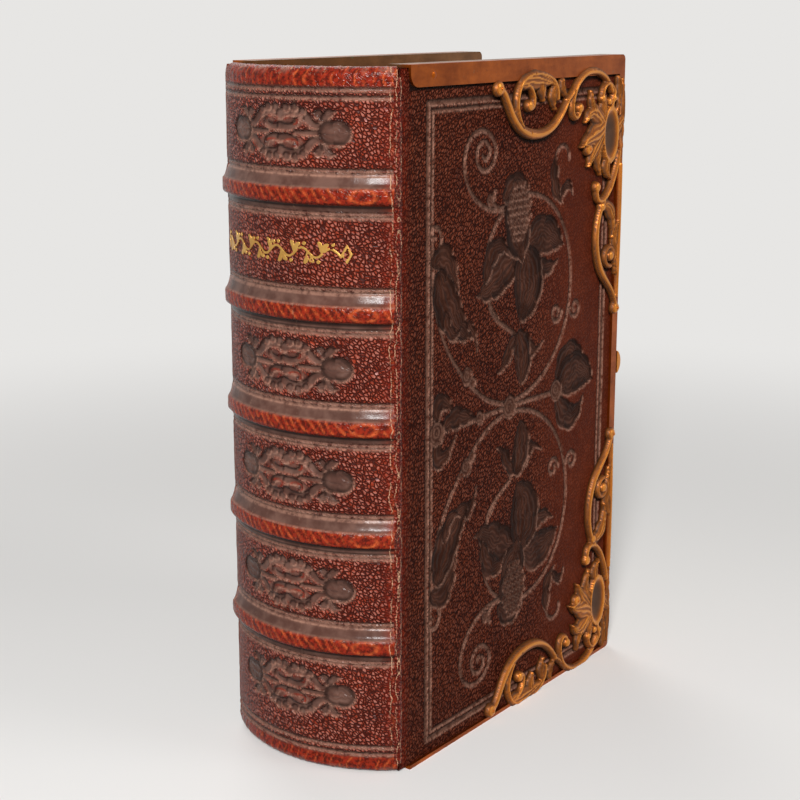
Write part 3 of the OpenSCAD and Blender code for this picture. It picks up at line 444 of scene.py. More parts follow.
def morocco(name, base, deep, top, pressed, gloss, grain, specular, turn, worn=None):
    """Pebble-grained goat leather. Marks: stamp smooth and dark; a pale mark for rubbed wear and painted
    highlights; a dark mark that is painted shade; veins of a leaf, red for bands and caps with their tooling,
    crease cracked, joint the distance from the nearest joint.
    top is the tone on the grain's crests, a painted highlight, and the valleys are darkened as painted shade;
    pressed the tones where it is stamped. The grain lies at a slant, and past worn, two places along x, it is
    rubbed down and darkens towards the fore-edge as painted shade."""
    f = Finish(name)
    stamp, rubbed_and_highlight, painted_shade, veins, red, tool, crease, joint = (f.mark(m) for m in LEATHER_MARKS)
    pebble = f.cells(0.58, 1.75, turn).between(0.0, 0.3)
    fine = f.noise(0.3, 2, 0.6)
    cloud = f.noise(15, 4, 0.6)
    patch = f.noise(4, 3, 0.6)
    grainy = 1 - stamp
    colour = f.mix(cloud.between(0.3, 0.72), deep, base)
    if worn:
        rubbed_down_and_shaded = f.axis("X").between(*worn)
        grainy = grainy * (1 - 0.7 * rubbed_down_and_shaded)
        # Painted shade: darker towards the fore-edge.
        colour = f.mix(rubbed_down_and_shaded * 0.6, colour, deep)
    colour = f.mix(patch.between(0.42, 0.75) * 0.35, colour, shade(base, 1.5))
    # Painted shade: the grain's valleys turn near black.
    colour = f.mix(pebble.between(0.55, 0.05) * grainy * 0.92, colour, shade(deep, 0.14))
    # Painted highlight: the grain's crests turn to the top tone.
    colour = f.mix(pebble.between(0.5, 1.0) * f.noise(0.9, 2).between(0.3, 0.6) * grainy * 0.5, colour, top)
    reds = f.mix(f.noise(0.8, 4, 0.65).between(0.38, 0.62), DARK_RED, BRIGHT_RED)
    colour = f.mix(red * 0.92, colour, reds)
    dark = stamp * (1 - red)
    colour = f.mix(dark * 0.9, colour, f.mix(patch.between(0.35, 0.7), *pressed))
    colour = f.mix(dark * veins.wave().between(0.3, 1) * patch.between(0.3, 0.65) * 0.6, colour, VEIN)
    colour = f.mix(tool * f.noise(0.7, 3).between(0.3, 0.55), colour, TOOLED_RED)
    # Painted shade: dark edges, pits, band undercuts and shadows by the mounts and the rim.
    colour = f.mix(painted_shade * 0.95, colour, PAINTED_SHADE_TONE)
    # Pale rubbed wear, with painted highlights on the lower edges of stamped forms and on the band edges.
    colour = f.mix(rubbed_and_highlight * f.noise(1.1, 4, 0.65).between(0.3, 0.6) * 0.75, colour, RUBBED_AND_HIGHLIGHT)
    drifting = joint - f.noise(5, 4, 0.7, (0.2, 0.2, 1)) * 2.4
    broken = f.noise(1.6, 4, 0.7).between(0.42, 0.56)
    crack = drifting.line(0.35, 0.13).larger(drifting.line(-0.75, 0.11)) * broken
    crack = crack.larger(crease * f.noise(0.5, 4, 0.7).between(0.52, 0.6)) * 0.7
    colour = f.mix(crack, colour, BARE_HIDE)
    rough = gloss + 0.12 * (1 - pebble) * grainy + 0.1 * patch - 0.04 * stamp + 0.2 * crack
    height = pebble * grainy * (0.24 * grain) + fine * 0.02 + stamp * veins.wave() * 0.05 - crack * 0.06
    return f.done(f.shader(colour=colour, rough=rough, normal=f.bump(height), specular=specular))


# Dark tone of patina and painted shade, and rubbed gold that is also a painted highlight
PATINA_AND_SHADE_TONE = (0.028, 0.012, 0.004)
RUBBED_GOLD_AND_HIGHLIGHT = (0.9, 0.38, 0.08)
VERDIGRIS = (0.1, 0.16, 0.1)
TARNISH = ((0.1, 0.062, 0.03), (0.19, 0.115, 0.055))


def brass(name, bright, dull, gloss, green=0.0, inside=None, crest=0.0):
    """Cast or rolled brass. One mark holds dark patina in the recesses and painted shade on the low walls and
    outlines, and crest is how much bright gold, rubbed up and painted as a highlight, shows where that mark
    is none. green is how much verdigris shows, and between the two distances inside it turns tarnished."""
    f = Finish(name)
    hollow = f.mark("hollow")
    streaks = f.noise(2, 4, 0.6, (0.3, 1, 1)).between(0.3, 0.75)
    tone = f.noise(6, 5, 0.62).between(0.3, 0.7) * 0.6 + streaks * 0.4
    speck = f.noise(0.7, 3, 0.7)
    scratch = f.noise(0.35, 2, 0.5, (0.06, 1, 0.6))
    colour = f.mix(tone, dull, bright)
    if inside:
        tarnished = 1 - f.axis("Y").absolute().between(*inside)
        colour = f.mix(tarnished * 0.75, colour, f.mix(tone, *TARNISH))
        green = tarnished * 0.6 + green
    if crest:
        # Rubbed bright gold on the crests, which is also a painted highlight.
        colour = f.mix(hollow.between(0.2, 0.0) * crest, colour, RUBBED_GOLD_AND_HIGHLIGHT)
    # Patina and painted shade from the mark, with real dirt specks.
    dirt_and_shade = (hollow * 0.92).larger(speck.between(0.58, 0.74) * 0.45)
    colour = f.mix(dirt_and_shade, colour, PATINA_AND_SHADE_TONE)
    if green:
        colour = f.mix(f.noise(1.8, 4, 0.7).between(0.64, 0.72) * green, colour, VERDIGRIS)
    rough = gloss + 0.16 * (1 - tone) + 0.35 * dirt_and_shade
    height = speck * 0.03 + scratch * 0.02
    return f.done(f.shader(colour=colour, rough=rough, metal=1 - 0.6 * dirt_and_shade, normal=f.bump(height, 0.6)))


def gilt_edges():
    """Cut page edges: fine leaf lines across the thickness, gold worn through to paper. The outer leaves
    show their bare paper."""
    f = Finish("gilt_pages")
    bare = f.axis("Y").absolute().between(PAGES_HALF - 0.4, PAGES_HALF - 0.25)
    leaves = f.noise(0.16, 2, 0.7, (0.01, 1, 0.01))
    gatherings = f.noise(1.6, 2, 0.5, (0.01, 1, 0.01))
    worn = (f.noise(5, 5, 0.65) * 0.6 + leaves * 0.4).between(0.5, 0.62)
    gold = f.mix(f.noise(9, 3).between(0.35, 0.7), (0.42, 0.25, 0.08), (0.66, 0.43, 0.15))
    colour = f.mix(worn * 0.75, gold, (0.5, 0.4, 0.25))
    colour = f.mix(leaves.between(0.52, 0.3) * 0.5, colour, (0.16, 0.09, 0.035))
    leaf = f.mix(f.noise(20, 4, 0.6).between(0.35, 0.7), (0.6, 0.5, 0.34), (0.5, 0.39, 0.24))
    colour = f.mix(bare, colour, leaf)
    worn = worn.larger(bare)
    height = (leaves * 0.12 + gatherings * 0.15) * (1 - bare)
    return f.done(f.shader(colour=colour, rough=0.36 + 0.4 * worn, metal=0.85 * (1 - worn),
                           normal=f.bump(height)))


def paper(name, base, aged, fibre):
    """Paper or card: fibres, clouds of a darker tone and a few age spots."""
    f = Finish(name)
    threads = f.noise(fibre, 4, 0.7, (1, 1, 0.4))
    spots = f.noise(2.6, 4, 0.75).between(0.66, 0.74)
    colour = f.mix(f.noise(22, 4, 0.6).between(0.35, 0.7), base, aged)
    colour = f.mix(threads.between(0.35, 0.7) * 0.3, colour, shade(aged, 0.75))
    colour = f.mix(spots * 0.5, colour, (0.24, 0.12, 0.05))
    return f.done(f.shader(colour=colour, rough=0.82 + 0.1 * threads, specular=0.2,
                           normal=f.bump(threads * 0.04)))


def sewn_silk():
    """Headband silk: turns of red and cream thread across the band."""
    f = Finish("headband_silk")
    across = f.axis("Y")
    thread = (across / 0.36).wave()
    cream = (across / 2.9).wave().between(0.45, 0.55)
    colour = f.mix(cream, (0.36, 0.02, 0.012), (0.6, 0.48, 0.3))
    colour = f.mix((1 - thread) * 0.5, colour, (0.08, 0.02, 0.01))
    return f.done(f.shader(colour=colour, rough=0.45 + 0.2 * (1 - thread), normal=f.bump(thread * 0.12)))


# In both leathers the top tone is a painted highlight on the grain's crests; the spine's pressed tones are
# lighter than the cover's, partly a painted sheen on its smooth stamped leather.
LEATHER = morocco("morocco_cover", base=(0.115, 0.021, 0.0075), deep=(0.075, 0.0115, 0.004),
                  top=(0.22, 0.07, 0.04), pressed=((0.02, 0.0075, 0.0042), (0.042, 0.016, 0.0095)),
                  gloss=0.4, grain=1.0, specular=0.03, turn=(0, 0.7, 0), worn=(5, 26))
SPINE_LEATHER = morocco("morocco_spine", base=(0.25, 0.032, 0.012), deep=(0.15, 0.016, 0.006),
                        top=(0.43, 0.2, 0.155), pressed=((0.06, 0.032, 0.024), (0.125, 0.075, 0.058)),
                        gloss=0.2, grain=1.2, specular=0.1, turn=(-0.9, 0, 0))
RIM_BRASS = brass("rim_brass", (0.43, 0.1, 0.011), (0.2, 0.04, 0.005), 0.3, green=0.3, inside=(18.2, 21.0))
GILT_BRASS = brass("gilt_brass", (0.6, 0.175, 0.018), (0.24, 0.066, 0.011), 0.22, crest=0.5)
GOLD_LEAF = brass("gold_leaf", (0.68, 0.4, 0.11), (0.5, 0.26, 0.06), 0.3)
PAGES = gilt_edges()
ENDPAPER = paper("endpaper", (0.62, 0.52, 0.36), (0.5, 0.38, 0.23), 0.5)
CARD = paper("card", (0.36, 0.28, 0.18), (0.27, 0.2, 0.12), 0.8)
SILK = sewn_silk()


# Cast and stamped pieces: a relief cut out along its own outline

# Patina and painted shade at the foot of a cast form's outline
OUTLINE_PATINA_AND_SHADE = 0.6


def blurred(grid, rounds):
    for _ in range(rounds):
        padded = np.pad(grid, 1, mode="edge")
        grid = (padded[:-2, 1:-1] + padded[2:, 1:-1] + padded[1:-1, :-2] + padded[1:-1, 2:] + 4 * grid) / 8
    return grid


def cut_out(relief, wall, start=-np.inf):
    """The part of a relief inside its outline and past start along z, closed by a flat foot.
    Gives points (a, b, height, and the mark of patina and painted shade), the number of them that are on the
    face, and the faces."""
    field = np.minimum(relief.inside, relief.z - start)
    index, points, faces = {}, [], []

    def corner(p):
        if p not in index:
            index[p] = len(points)
            points.append((relief.x[p], relief.z[p], relief.height[p], relief.marks["hollow"][p]))
        return index[p]

    def crossing(p, q):
        p, q = min(p, q), max(p, q)
        if (p, q) not in index:
            t = field[p] / (field[p] - field[q])
            index[p, q] = len(points)
            x, z = (grid[p] * (1 - t) + grid[q] * t for grid in (relief.x, relief.z))
            # The outline's foot gets patina and painted shade.
            points.append((x, z, wall, OUTLINE_PATINA_AND_SHADE))
        return index[p, q]

    inside = field > 0
    touched = inside[:-1, :-1] | inside[1:, :-1] | inside[1:, 1:] | inside[:-1, 1:]
    for i, j in np.argwhere(touched).tolist():
        loop = []
        for p, q in pairs([(i, j), (i + 1, j), (i + 1, j + 1), (i, j + 1)]):
            if inside[p]:
                loop.append(corner(p))
            if inside[p] != inside[q]:
                loop.append(crossing(p, q))
        faces.append(loop)
    count = len(points)
    edges = {edge for face in faces for edge in pairs(face)}
    rim = [(a, b) for a, b in edges if (b, a) not in edges]
    faces += [[i + count for i in reversed(face)] for face in faces]
    faces += [[b, a, a + count, b + count] for a, b in sorted(rim)]
    return np.array(points), count, faces


# Corner mounts: a runs along the cover from the fore-edge, b from the panel's head or tail edge

# A curve's four points, and its width at either end
MOUNT_SCROLLS = [
    ((52, 1.3), (48.6, 2.2), (48.2, 9.6), (40, 10.9), 1.7, 2.3),
    ((40, 10.9), (33.5, 12), (29, 9.6), (25.4, 4.6), 2.3, 1.4),
    ((43.6, 9.2), (47.4, 5.5), (46, -1.1), (39, -1.2), 1.3, 1.3),
    ((39, -1.2), (33.4, -1.3), (29.4, 0.4), (29.8, 4.2), 1.3, 1.1),
    ((43, 0.6), (38.6, 1.4), (38.4, 5.8), (40.8, 5.9), 1.1, 1),
    ((25.6, 4.6), (23.6, 3.6), (22, 1.8), (19.4, 0.2), 1.2, 1.3),
    ((20.2, 6.9), (20.8, 9.6), (24.2, 9.2), (23.4, 5.2), 1.2, 1.5),
    ((23.4, 5.2), (22.6, 1.2), (18.6, -1.2), (14.6, -1), 1.5, 1.8),
    ((14.6, -1), (11, -0.9), (8, 0.6), (6.2, 3.6), 1.8, 1.3),
    ((10.6, 5.2), (10.6, 1.6), (7, 0.4), (5, 4), 1.3, 1.2),
    ((5, 3.8), (5.8, 5.6), (6.4, 7), (6.6, 9.4), 1.5, 2),
    ((11.9, 24.6), (12.4, 28.2), (8.6, 28.4), (5.6, 24.6), 1.4, 1.6),
    ((5.6, 24.6), (4.2, 22.6), (2.6, 19.6), (2.4, 17), 1.6, 1.3),
    ((8.4, 27.4), (12.6, 32), (12, 39), (8.8, 43.2), 1.4, 2),
    ((8.8, 43.2), (6, 46.6), (3, 47.8), (1.9, 52.2), 2, 1.1),
    ((1.4, 20), (1.2, 30), (1.3, 40), (1.7, 50), 1.2, 1.1)]
# A curve's four points, and its greatest width
MOUNT_PETALS = [
    ((44.6, 1), (41, -0.4), (35, -0.2), (31, 1.4), 4),
    ((36.6, 0.6), (36, 1.6), (35.6, 2.8), (35.6, 4.4), 2.8),
    ((31, 1.6), (31.6, 3.2), (31.6, 4.8), (30.8, 6.4), 2.4),
    ((27.6, 0.2), (28.1, 1.6), (27.4, 3), (25.4, 4.6), 2),
    ((9.9, 4), (9.8, 6.4), (9.4, 8.4), (9.2, 11.4), 2.8),
    ((9.5, 10.5), (13, 8.6), (15.4, 6.6), (15.6, 3.2), 3.4),
    ((9, 11), (12.5, 7.6), (15.8, 7), (17.6, 9.8), 4.2),
    ((9.4, 10), (11.4, 13.2), (15.4, 13.2), (19.2, 15), 5.2),
    ((10, 12), (12.6, 15), (14.4, 17), (16, 19.4), 3.8),
    ((10.2, 14.6), (12.4, 16.8), (12.2, 19.2), (10.6, 21.6), 2.8),
    ((6.6, 17), (8.4, 19.4), (8, 21.6), (6, 22.8), 2.8),
    ((3.4, 0.4), (2.4, 2), (2.6, 5.2), (3.6, 8.4), 2.2), ((1.4, 1), (0.8, 6), (0.9, 12), (1.6, 20.5), 1.8),
    ((1, 9.6), (2.6, 10.6), (3.8, 12.4), (5, 15), 3.2),
    ((8.8, 28.6), (5.2, 28.4), (3.4, 31.4), (4.4, 36.2), 3.4),
    ((2, 33), (3.4, 35.4), (3.6, 38.6), (2.4, 44.6), 2.4)]
# Centre, the first and last radius, and the first and last angle
MOUNT_WHORL = ((5.2, 40), 2.6, 0.9, 100, -280)
# Centre and radius
MOUNT_BEADS = [
    ((52.4, 1.3), 1.6), ((40.9, 5.2), 1.3), ((20.3, 6.6), 1.2), ((10.5, 5), 1.0), ((7.6, 5.8), 1.0),
    ((5.4, 5.2), 0.9), ((16.2, 15.6), 1.5), ((11.9, 24.2), 1.3), ((9.4, 28.8), 1.2), ((5, 40.2), 1.3),
    ((1.9, 52.6), 1.5)]
CARTOUCHE_AT, CARTOUCHE_REACH = (6.8, 13.0), (3.5, 6.5)
MOUNT_WALL = 0.5
MOUNT_TOP = 1.66
MOUNT_SUNK = 0.05
SCROLL_TOP = 1.42
WHORL_TOP = 1.3
WHORL_HALF = 0.6
TAIL_TRIM = 0.02 - RIM_TAIL


def raise_form(relief, found, height):
    """Raises a cast form: a low wall at its outline, rounded over to its crest."""
    window, near = found.window, found.near
    crest = np.sqrt(np.clip(1 - near ** 2, 0, 1))
    raised = np.where(near < 1.0, MOUNT_WALL + (height - MOUNT_WALL) * crest, 0)
    relief.height[window] = np.maximum(relief.height[window], raised)
    relief.inside[window] = np.maximum(relief.inside[window], (1 - near) * np.maximum(found.wide, 0.3))


def mount_relief():
    relief = Relief(steps(-1, 55, MOUNT_PITCH), steps(-3, 56, MOUNT_PITCH), ("hollow",))
    for a, b, c, d, w0, w1 in MOUNT_SCROLLS:
        points = bezier(a, b, c, d)
        found = relief.trace(points, np.linspace(w0 / 2, w1 / 2, len(points)))
        raise_form(relief, found, SCROLL_TOP)
        flute = hump(found.near, 0.45, 0.18) * (found.side > 0) * (found.wide > 0.6)
        relief.height[found.window] -= 0.25 * flute
    raise_form(relief, relief.trace(spiral(*MOUNT_WHORL), WHORL_HALF), WHORL_TOP)
    for a, b, c, d, width in MOUNT_PETALS:
        points = bezier(a, b, c, d)
        t = np.linspace(0, 1, len(points))
        half = np.maximum(width / 2 * np.sin(math.pi * np.clip(t, 0.02, 0.97) ** 0.7), 0.3)
        half *= 1 + 0.12 * np.sin(2 * math.pi * (3 * t - 0.1))
        found = relief.trace(points, half)
        veins = ripple(found.near * 0.5 + 0.3 * found.along * found.side, 0.25)
        raise_form(relief, found, 0.95 + 0.08 * width + 0.26 * veins)
    for at, r in MOUNT_BEADS:
        raise_form(relief, relief.trace(dot(at), r), MOUNT_TOP)
    # Hollowed cartouche with a raised rim
    oval = np.hypot((relief.x - CARTOUCHE_AT[0]) / CARTOUCHE_REACH[0],
                    (relief.z - CARTOUCHE_AT[1]) / CARTOUCHE_REACH[1])
    dish = np.where(oval < 1, 0.85 + 0.55 * oval ** 3, 0) + 0.25 * hump(oval, 0.86, 0.12) * (oval < 1)
    relief.height = np.where(oval < 0.97, np.minimum(dish, MOUNT_TOP), relief.height)
    relief.inside = np.maximum(relief.inside, (1 - oval) * 4)
    relief.inside = np.minimum(relief.inside, np.minimum(relief.x - 0.35, relief.z + 2.4))
    # Patina in the recesses, and painted shade that grows darker the lower a place stands.
    low = relief.height - blurred(relief.height, 12)
    relief.marks["hollow"] = np.clip(np.maximum(0.14 - 5 * low, smooth(1.4, 0.85, relief.height)), 0, 1)
    relief.marks["foot"] = blurred((relief.inside > 0).astype(float), 9)
    return relief


def corner_mount(cast, name, body, rear, head):
    """A mount from the casting's points and faces, upright at the tail and turned over at the head."""
    data, count, faces = cast
    a, b, height, hollow = data.T
    z = PANEL_HEAD - b if head else RIM_TAIL + b
    top = np.stack([COVER_W - a, -(LEATHER_FACE + np.maximum(height, MOUNT_WALL)), z], 1)
    foot = top.copy()
    foot[:, 1] = MOUNT_SUNK - LEATHER_FACE
    if not head:
        faces = [face[::-1] for face in faces]
    marks = {"hollow": np.concatenate([hollow, np.ones(count)])}
    return piece(name, np.concatenate([top, foot]), faces, body, GILT_BRASS, marks, rear)


CAST = mount_relief()


# Covers

JOINT_TO_COVER = 1.2
# The double fillet's lines: inset, width and depth
FILLETS = ((0.45, 0.9, 0.28), (1.9, 0.45, 0.22))
VINE_W = 0.6
ARABESQUE_DEPTH = 0.36
# From the knot, upwards: vines by their curves' points, leaves with width and lobes too, studs with radius
ARABESQUE_VINES = [
    ((2, 1.2), (14, 2), (24, 11), (24, 24)), ((24, 24), (24, 36), (16, 44.3), (5, 44.3)),
    ((-2, 1.2), (-9, 2.2), (-13, 5.5), (-16.5, 8.6)),
    ((-16.5, 8.6), (-24, 14.5), (-30, 24), (-28.6, 34.5)),
    ((-28.6, 34), (-25, 37), (-25.5, 41.5), (-29, 40.8)),
    ((-29, 40.8), (-30, 40), (-29.6, 38.4), (-28.3, 38.9)),
    ((-2, 42), (-10, 39.5), (-14, 27), (-5.5, 19.8)), ((-8.5, 22.5), (-6, 18), (0, 17.5), (2.5, 14)),
    ((-1.5, 42.2), (-12, 40.5), (-19.5, 48), (-18.2, 53.5)),
    ((-18.2, 53.5), (-17, 59.5), (-8.5, 60), (-7, 54.5)), ((-2, 42.5), (-6, 41.5), (-8.5, 43.5), (-7, 46)),
    ((16.5, 49), (16.5, 54.5), (22.5, 54.5), (22.3, 50.5))]
ARABESQUE_SPIRALS = [
    ((-11, 53.8), 4.1, 0.8, 10, -500), ((18.3, 17.5), 2.3, 0.7, 0, -400),
    ((26.3, 17.5), 2.3, 0.7, 180, 580)]
ARABESQUE_LEAVES = [
    ((-28.5, 33), (-26, 37), (-22, 34), (-20, 27), 4.6, 2),
    ((-26.5, 32), (-25, 26), (-22, 19), (-13.5, 17.2), 7.2, 4),
    ((-24, 24), (-24, 20), (-21.5, 17), (-18.5, 19.5), 2.6, 1),
    ((-16.5, 21), (-15, 19), (-13.5, 18), (-13, 14.5), 1.6, 1),
    ((5, 32), (12, 38), (16, 34), (20.8, 32), 7.4, 3), ((8, 31), (11, 27), (15, 27), (18.5, 29), 3.6, 2),
    ((3, 32), (-2, 31), (-8, 25), (-13.2, 25.3), 6.8, 3),
    ((-10, 27), (-9, 34), (-5, 37), (-0.5, 32), 4.2, 2), ((5, 32), (8, 27), (7, 22), (3.2, 17.4), 9.6, 4),
    ((1, 43), (1, 39), (3, 35), (4.4, 30), 8.6, 1), ((-3, 43.5), (-1, 47), (4, 48), (6.5, 43.5), 4.6, 3),
    ((3, 14.8), (-1, 14), (-1, 9), (-5, 8), 3.0, 1), ((4, 14.8), (8, 13), (7, 8), (13, 12), 3.0, 1),
    ((3, 15.6), (5.5, 11), (5.5, 7), (4, 3.6), 5.6, 3),
    ((20, 1.4), (21, 7.5), (28, 10), (31, 3.5), 5.4, 3),
    ((-26.5, 1.6), (-29, 7), (-24, 7.5), (-20.5, 2), 3.4, 2),
    ((17, 51), (15.5, 46), (17.5, 42.5), (20, 41), 3.2, 1),
    ((19.5, 42), (20.5, 45), (23.5, 46), (24, 42.5), 2.0, 1)]
ARABESQUE_STUDS = [((-16.5, 9.5), 1.7), ((-14.5, 7.8), 1.1), ((-8.5, 44.3), 1.2)]
SCALES_AT, SCALES_REACH, SCALE_R = (2.6, 41.2), (4.4, 6.2), 0.75
KNOT_VINES = [((2, 0), (7, 0.4), (13, -0.4), (18, 0)), ((-2, 0), (-6, 0.4), (-12, -0.4), (-16, 0))]
KNOT_LEAVES = [
    ((21, 0), (25, 4), (31, 3), (35.3, -0.5), 8.0, 4), ((-24.5, 0), (-22, 3), (-17, 1), (-13, 0), 4.0, 2)]
KNOT_STUDS = [((0, 0), 2.4), ((-11.5, 0), 1.4), ((19.2, 0), 2.3), ((-27, -0.2), 2.4)]


def footprint(a, b):
    """How much of the corner mount's foot lies round a place."""
    i = np.clip(np.rint((a - CAST.xs[0]) / MOUNT_PITCH).astype(int), 0, len(CAST.xs) - 1)
    j = np.clip(np.rint((b - CAST.zs[0]) / MOUNT_PITCH).astype(int), 0, len(CAST.zs) - 1)
    return CAST.marks["foot"][i, j]


def frame_lines(relief):
    left, right, low, high = FILLET_BOX
    for inset, width, depth in FILLETS:
        corners = [(left + inset, low + inset), (right - inset, low + inset), (right - inset, high - inset),
                   (left + inset, high - inset)]
        for line in pairs(corners):
            relief.groove(line, width, width, depth, 0.3)


def stamp_forms(relief, at, vines, spirals, leaves, studs):
    """Stamps what a plan lists; at puts its points on the cover."""
    for curve in vines:
        relief.groove(bezier(*map(at, curve)), VINE_W, VINE_W, ARABESQUE_DEPTH)
    for arms in spirals:
        relief.groove([at(p) for p in spiral(*arms)], VINE_W, VINE_W, ARABESQUE_DEPTH)
    for a, b, c, d, width, lobes in leaves:
        relief.leaf(at(a), at(b), at(c), at(d), width, ARABESQUE_DEPTH, lobes)
    for centre, r in studs:
        relief.stud(at(centre), r, ARABESQUE_DEPTH)


def from_knot(flip):
    """Places from the knot; flip is -1 for what lies below it."""
    return lambda p: (KNOT[0] + p[0], KNOT[1] + flip * p[1])


def arabesque(relief):
    """Blind-stamped vines, leaves and flowers, the same above and below the knot."""
    for flip in (1, -1):
        at = from_knot(flip)
        stamp_forms(relief, at, ARABESQUE_VINES, ARABESQUE_SPIRALS, ARABESQUE_LEAVES, ARABESQUE_STUDS)
        # Scales on the great flower's base
        for row in range(-4, 5):
            for column in range(-3, 4):
                du, dz = 1.5 * column + 0.75 * (row % 2), 1.35 * row
                if math.hypot(du / SCALES_REACH[0], dz / SCALES_REACH[1]) < 1:
                    relief.stud(at((SCALES_AT[0] + du, SCALES_AT[1] + dz)), SCALE_R, ARABESQUE_DEPTH)
    stamp_forms(relief, from_knot(1), KNOT_VINES, [], KNOT_LEAVES, KNOT_STUDS)


def cover_relief():
    low, high = (JOINT_GAP, RIM_T), (COVER_W - RIM_T, BOOK_H - RIM_T)
    left, right, tail, head = FILLET_BOX
    relief = Relief(graded(low[0], 0.8, left - 0.6, FILLET_PITCH, left + 2.7, COVER_PITCH, right - 2.7,
                           FILLET_PITCH, right + 0.6, 0.8, high[0]),
                    graded(low[1], 0.7, tail - 0.6, FILLET_PITCH, tail + 2.7, COVER_PITCH, head - 2.7,
                           FILLET_PITCH, head + 0.6, 0.4, high[1]), LEATHER_MARKS)
    frame_lines(relief)
    arabesque(relief)
    relief.height += 0.05 * wander(relief.x.shape, (9, 15), 3) + 0.025 * wander(relief.x.shape, (40, 66), 4)
    relief.marks["joint"] = relief.x + JOINT_TO_COVER
    relief.marks["red"] = 0.5 * (1 - smooth(0.5, 4.5, relief.x))
    # Painted shadow on the leather against the mounts' feet, offset downwards and towards the fore-edge, and
    # under the rim's flange
    painted_shadow = smooth(PANEL_HEAD - 0.9, PANEL_HEAD - 0.35, relief.z)
    painted_shadow = painted_shadow * smooth(RIM_FROM - 0.3, RIM_FROM, relief.x)
    for across in (RIM_TAIL, PANEL_HEAD):
        b = np.abs(relief.z + 0.7 - across)
        painted_shadow = np.maximum(painted_shadow, smooth(0.14, 0.5, footprint(COVER_W - relief.x + 0.4, b)))
    relief.mark("painted_shade", painted_shadow)
    relief.marks["rubbed_and_highlight"] *= 1 - painted_shadow
    edge = np.minimum.reduce([relief.x - low[0] + 0.35, high[0] - relief.x, relief.z - low[1],
                              high[1] - relief.z])
    relief.height = np.minimum(relief.height, 0.1) - 0.3 * (1 - smooth(0, 0.9, edge))
    return relief


def cover_skin(relief, name, body, rear):
    """Cover leather: tooled face, edges folded over the board, and the turn-ins."""
    rows, columns = relief.x.shape
    points = np.stack([relief.x, -(LEATHER_FACE + relief.height), relief.z], -1).reshape(-1, 3)
    faces = [face[::-1] for face in grid_faces(rows, columns)]
    ring = grid_rim(rows, columns)
    back = points[ring].copy()
    back[:, 1] = np.where(back[:, 0] < BOARD_START, -BOARD_FACE + 0.05, -TURN_FACE)
    start, n = len(points), len(ring)
    faces += [(a, start + k, start + (k + 1) % n, b) for k, (a, b) in enumerate(pairs(ring))]
    # Turn-ins: a flat ring round the inner face
    inner = back.copy()
    inner[:, 1] = -TURN_FACE
    inner[:, 0] = np.clip(inner[:, 0], BOARD_START, COVER_W - TURN_EDGE)
    inner[:, 2] = np.clip(inner[:, 2], TURN_EDGE, BOOK_H - TURN_EDGE)
    deep = inner.copy()
    deep[:, 1] = -BOARD_IN
    on_board = back[:, 0] >= BOARD_START
    for k in np.flatnonzero(on_board & np.roll(on_board, -1)):
        m = (k + 1) % n
        faces.append((start + k, start + n + k, start + n + m, start + m))
        faces.append((start + n + k, start + 2 * n + k, start + 2 * n + m, start + n + m))
    points = np.concatenate([points, back, inner, deep])
    marks = {}
    for key, grid in relief.marks.items():
        rest = np.full(n, 9.0) if key == "joint" else 0.3 * grid.ravel()[ring]
        marks[key] = np.concatenate([grid.ravel(), np.tile(rest, 3)])
    return piece(name, points, faces, body, LEATHER, marks, rear)


tooled = cover_relief()
for side in ("front", "rear"):
    skin = cover_skin(tooled, side + "_cover_leather", side + "_cover", side == "rear")
    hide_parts(side + "_leather")


# Spine

BAND_TOP = 1.29
# Distance above the band's middle, and height
BAND_SHAPE = np.array([(-2.35, 0), (-2.05, 0.1), (-1.95, 0.75), (-1.7, 1.1), (-1.2, 1.24), (-0.2, BAND_TOP),
                       (0.7, 1.27), (1.15, 1.12), (1.4, 0.8), (1.9, 0.5), (2.6, 0.26), (3.3, 0.06), (3.5, 0)])
FLEURON_U = SPINE_ARC / 2 - 0.6
FLEURON_Z = [BAND_Z[0] - 11.2] + [(BAND_Z[i] + BAND_Z[i + 1]) / 2 for i in range(3)] + [BAND_Z[4] + 11.2]
# From the fleuron's middle, for one of its quarters: strokes with a width at either end
FLEURON_STROKES = [
    ((-0.2, 3.3), (2, 4.4), (4.6, 4.2), (6.2, 2.5), 1.7, 1.6),
    ((6.1, 2.6), (7.1, 1.2), (8.5, 0.7), (9.5, 2.2), 1.6, 0.7),
    ((-0.2, 1.1), (1.4, 0.7), (3.8, 0.9), (3.7, 2.3), 1.4, 0.9)]
FLEURON_SCALLOPS = [((1.2, 4.5), 0.75), ((3.2, 4.6), 0.7), ((5, 3.9), 0.65)]
FLEURON_LEAVES = [
    ((9.3, 1.9), (9.3, 3.2), (8.2, 3.9), (7.1, 3.5), 1.5),
    ((9.4, 1.9), (9.7, 3.4), (10.7, 4), (11.8, 3.9), 1.4)]
FLEURON_DEPTH = 0.34
BAND_FILLETS = (-4.2, -3.5, 3.75, 4.45)
CAP_FILLETS = (4.4, 5.9, BOOK_H - 5.9, BOOK_H - 4.4)
CAP_TURN = 190
HATCH_PITCH = 1.9
OVAL_U = 39.5
# Distance from the rear joint, and strength
CREASES = ((12.7, 0.5), (25.6, 0.35))


def spine_point(u, r):
    """Arc length from the rear joint, and radius, to x and y."""
    angle = u / SPINE_R - SPINE_HALF
    return SPINE_X - r * np.cos(angle), -r * np.sin(angle)


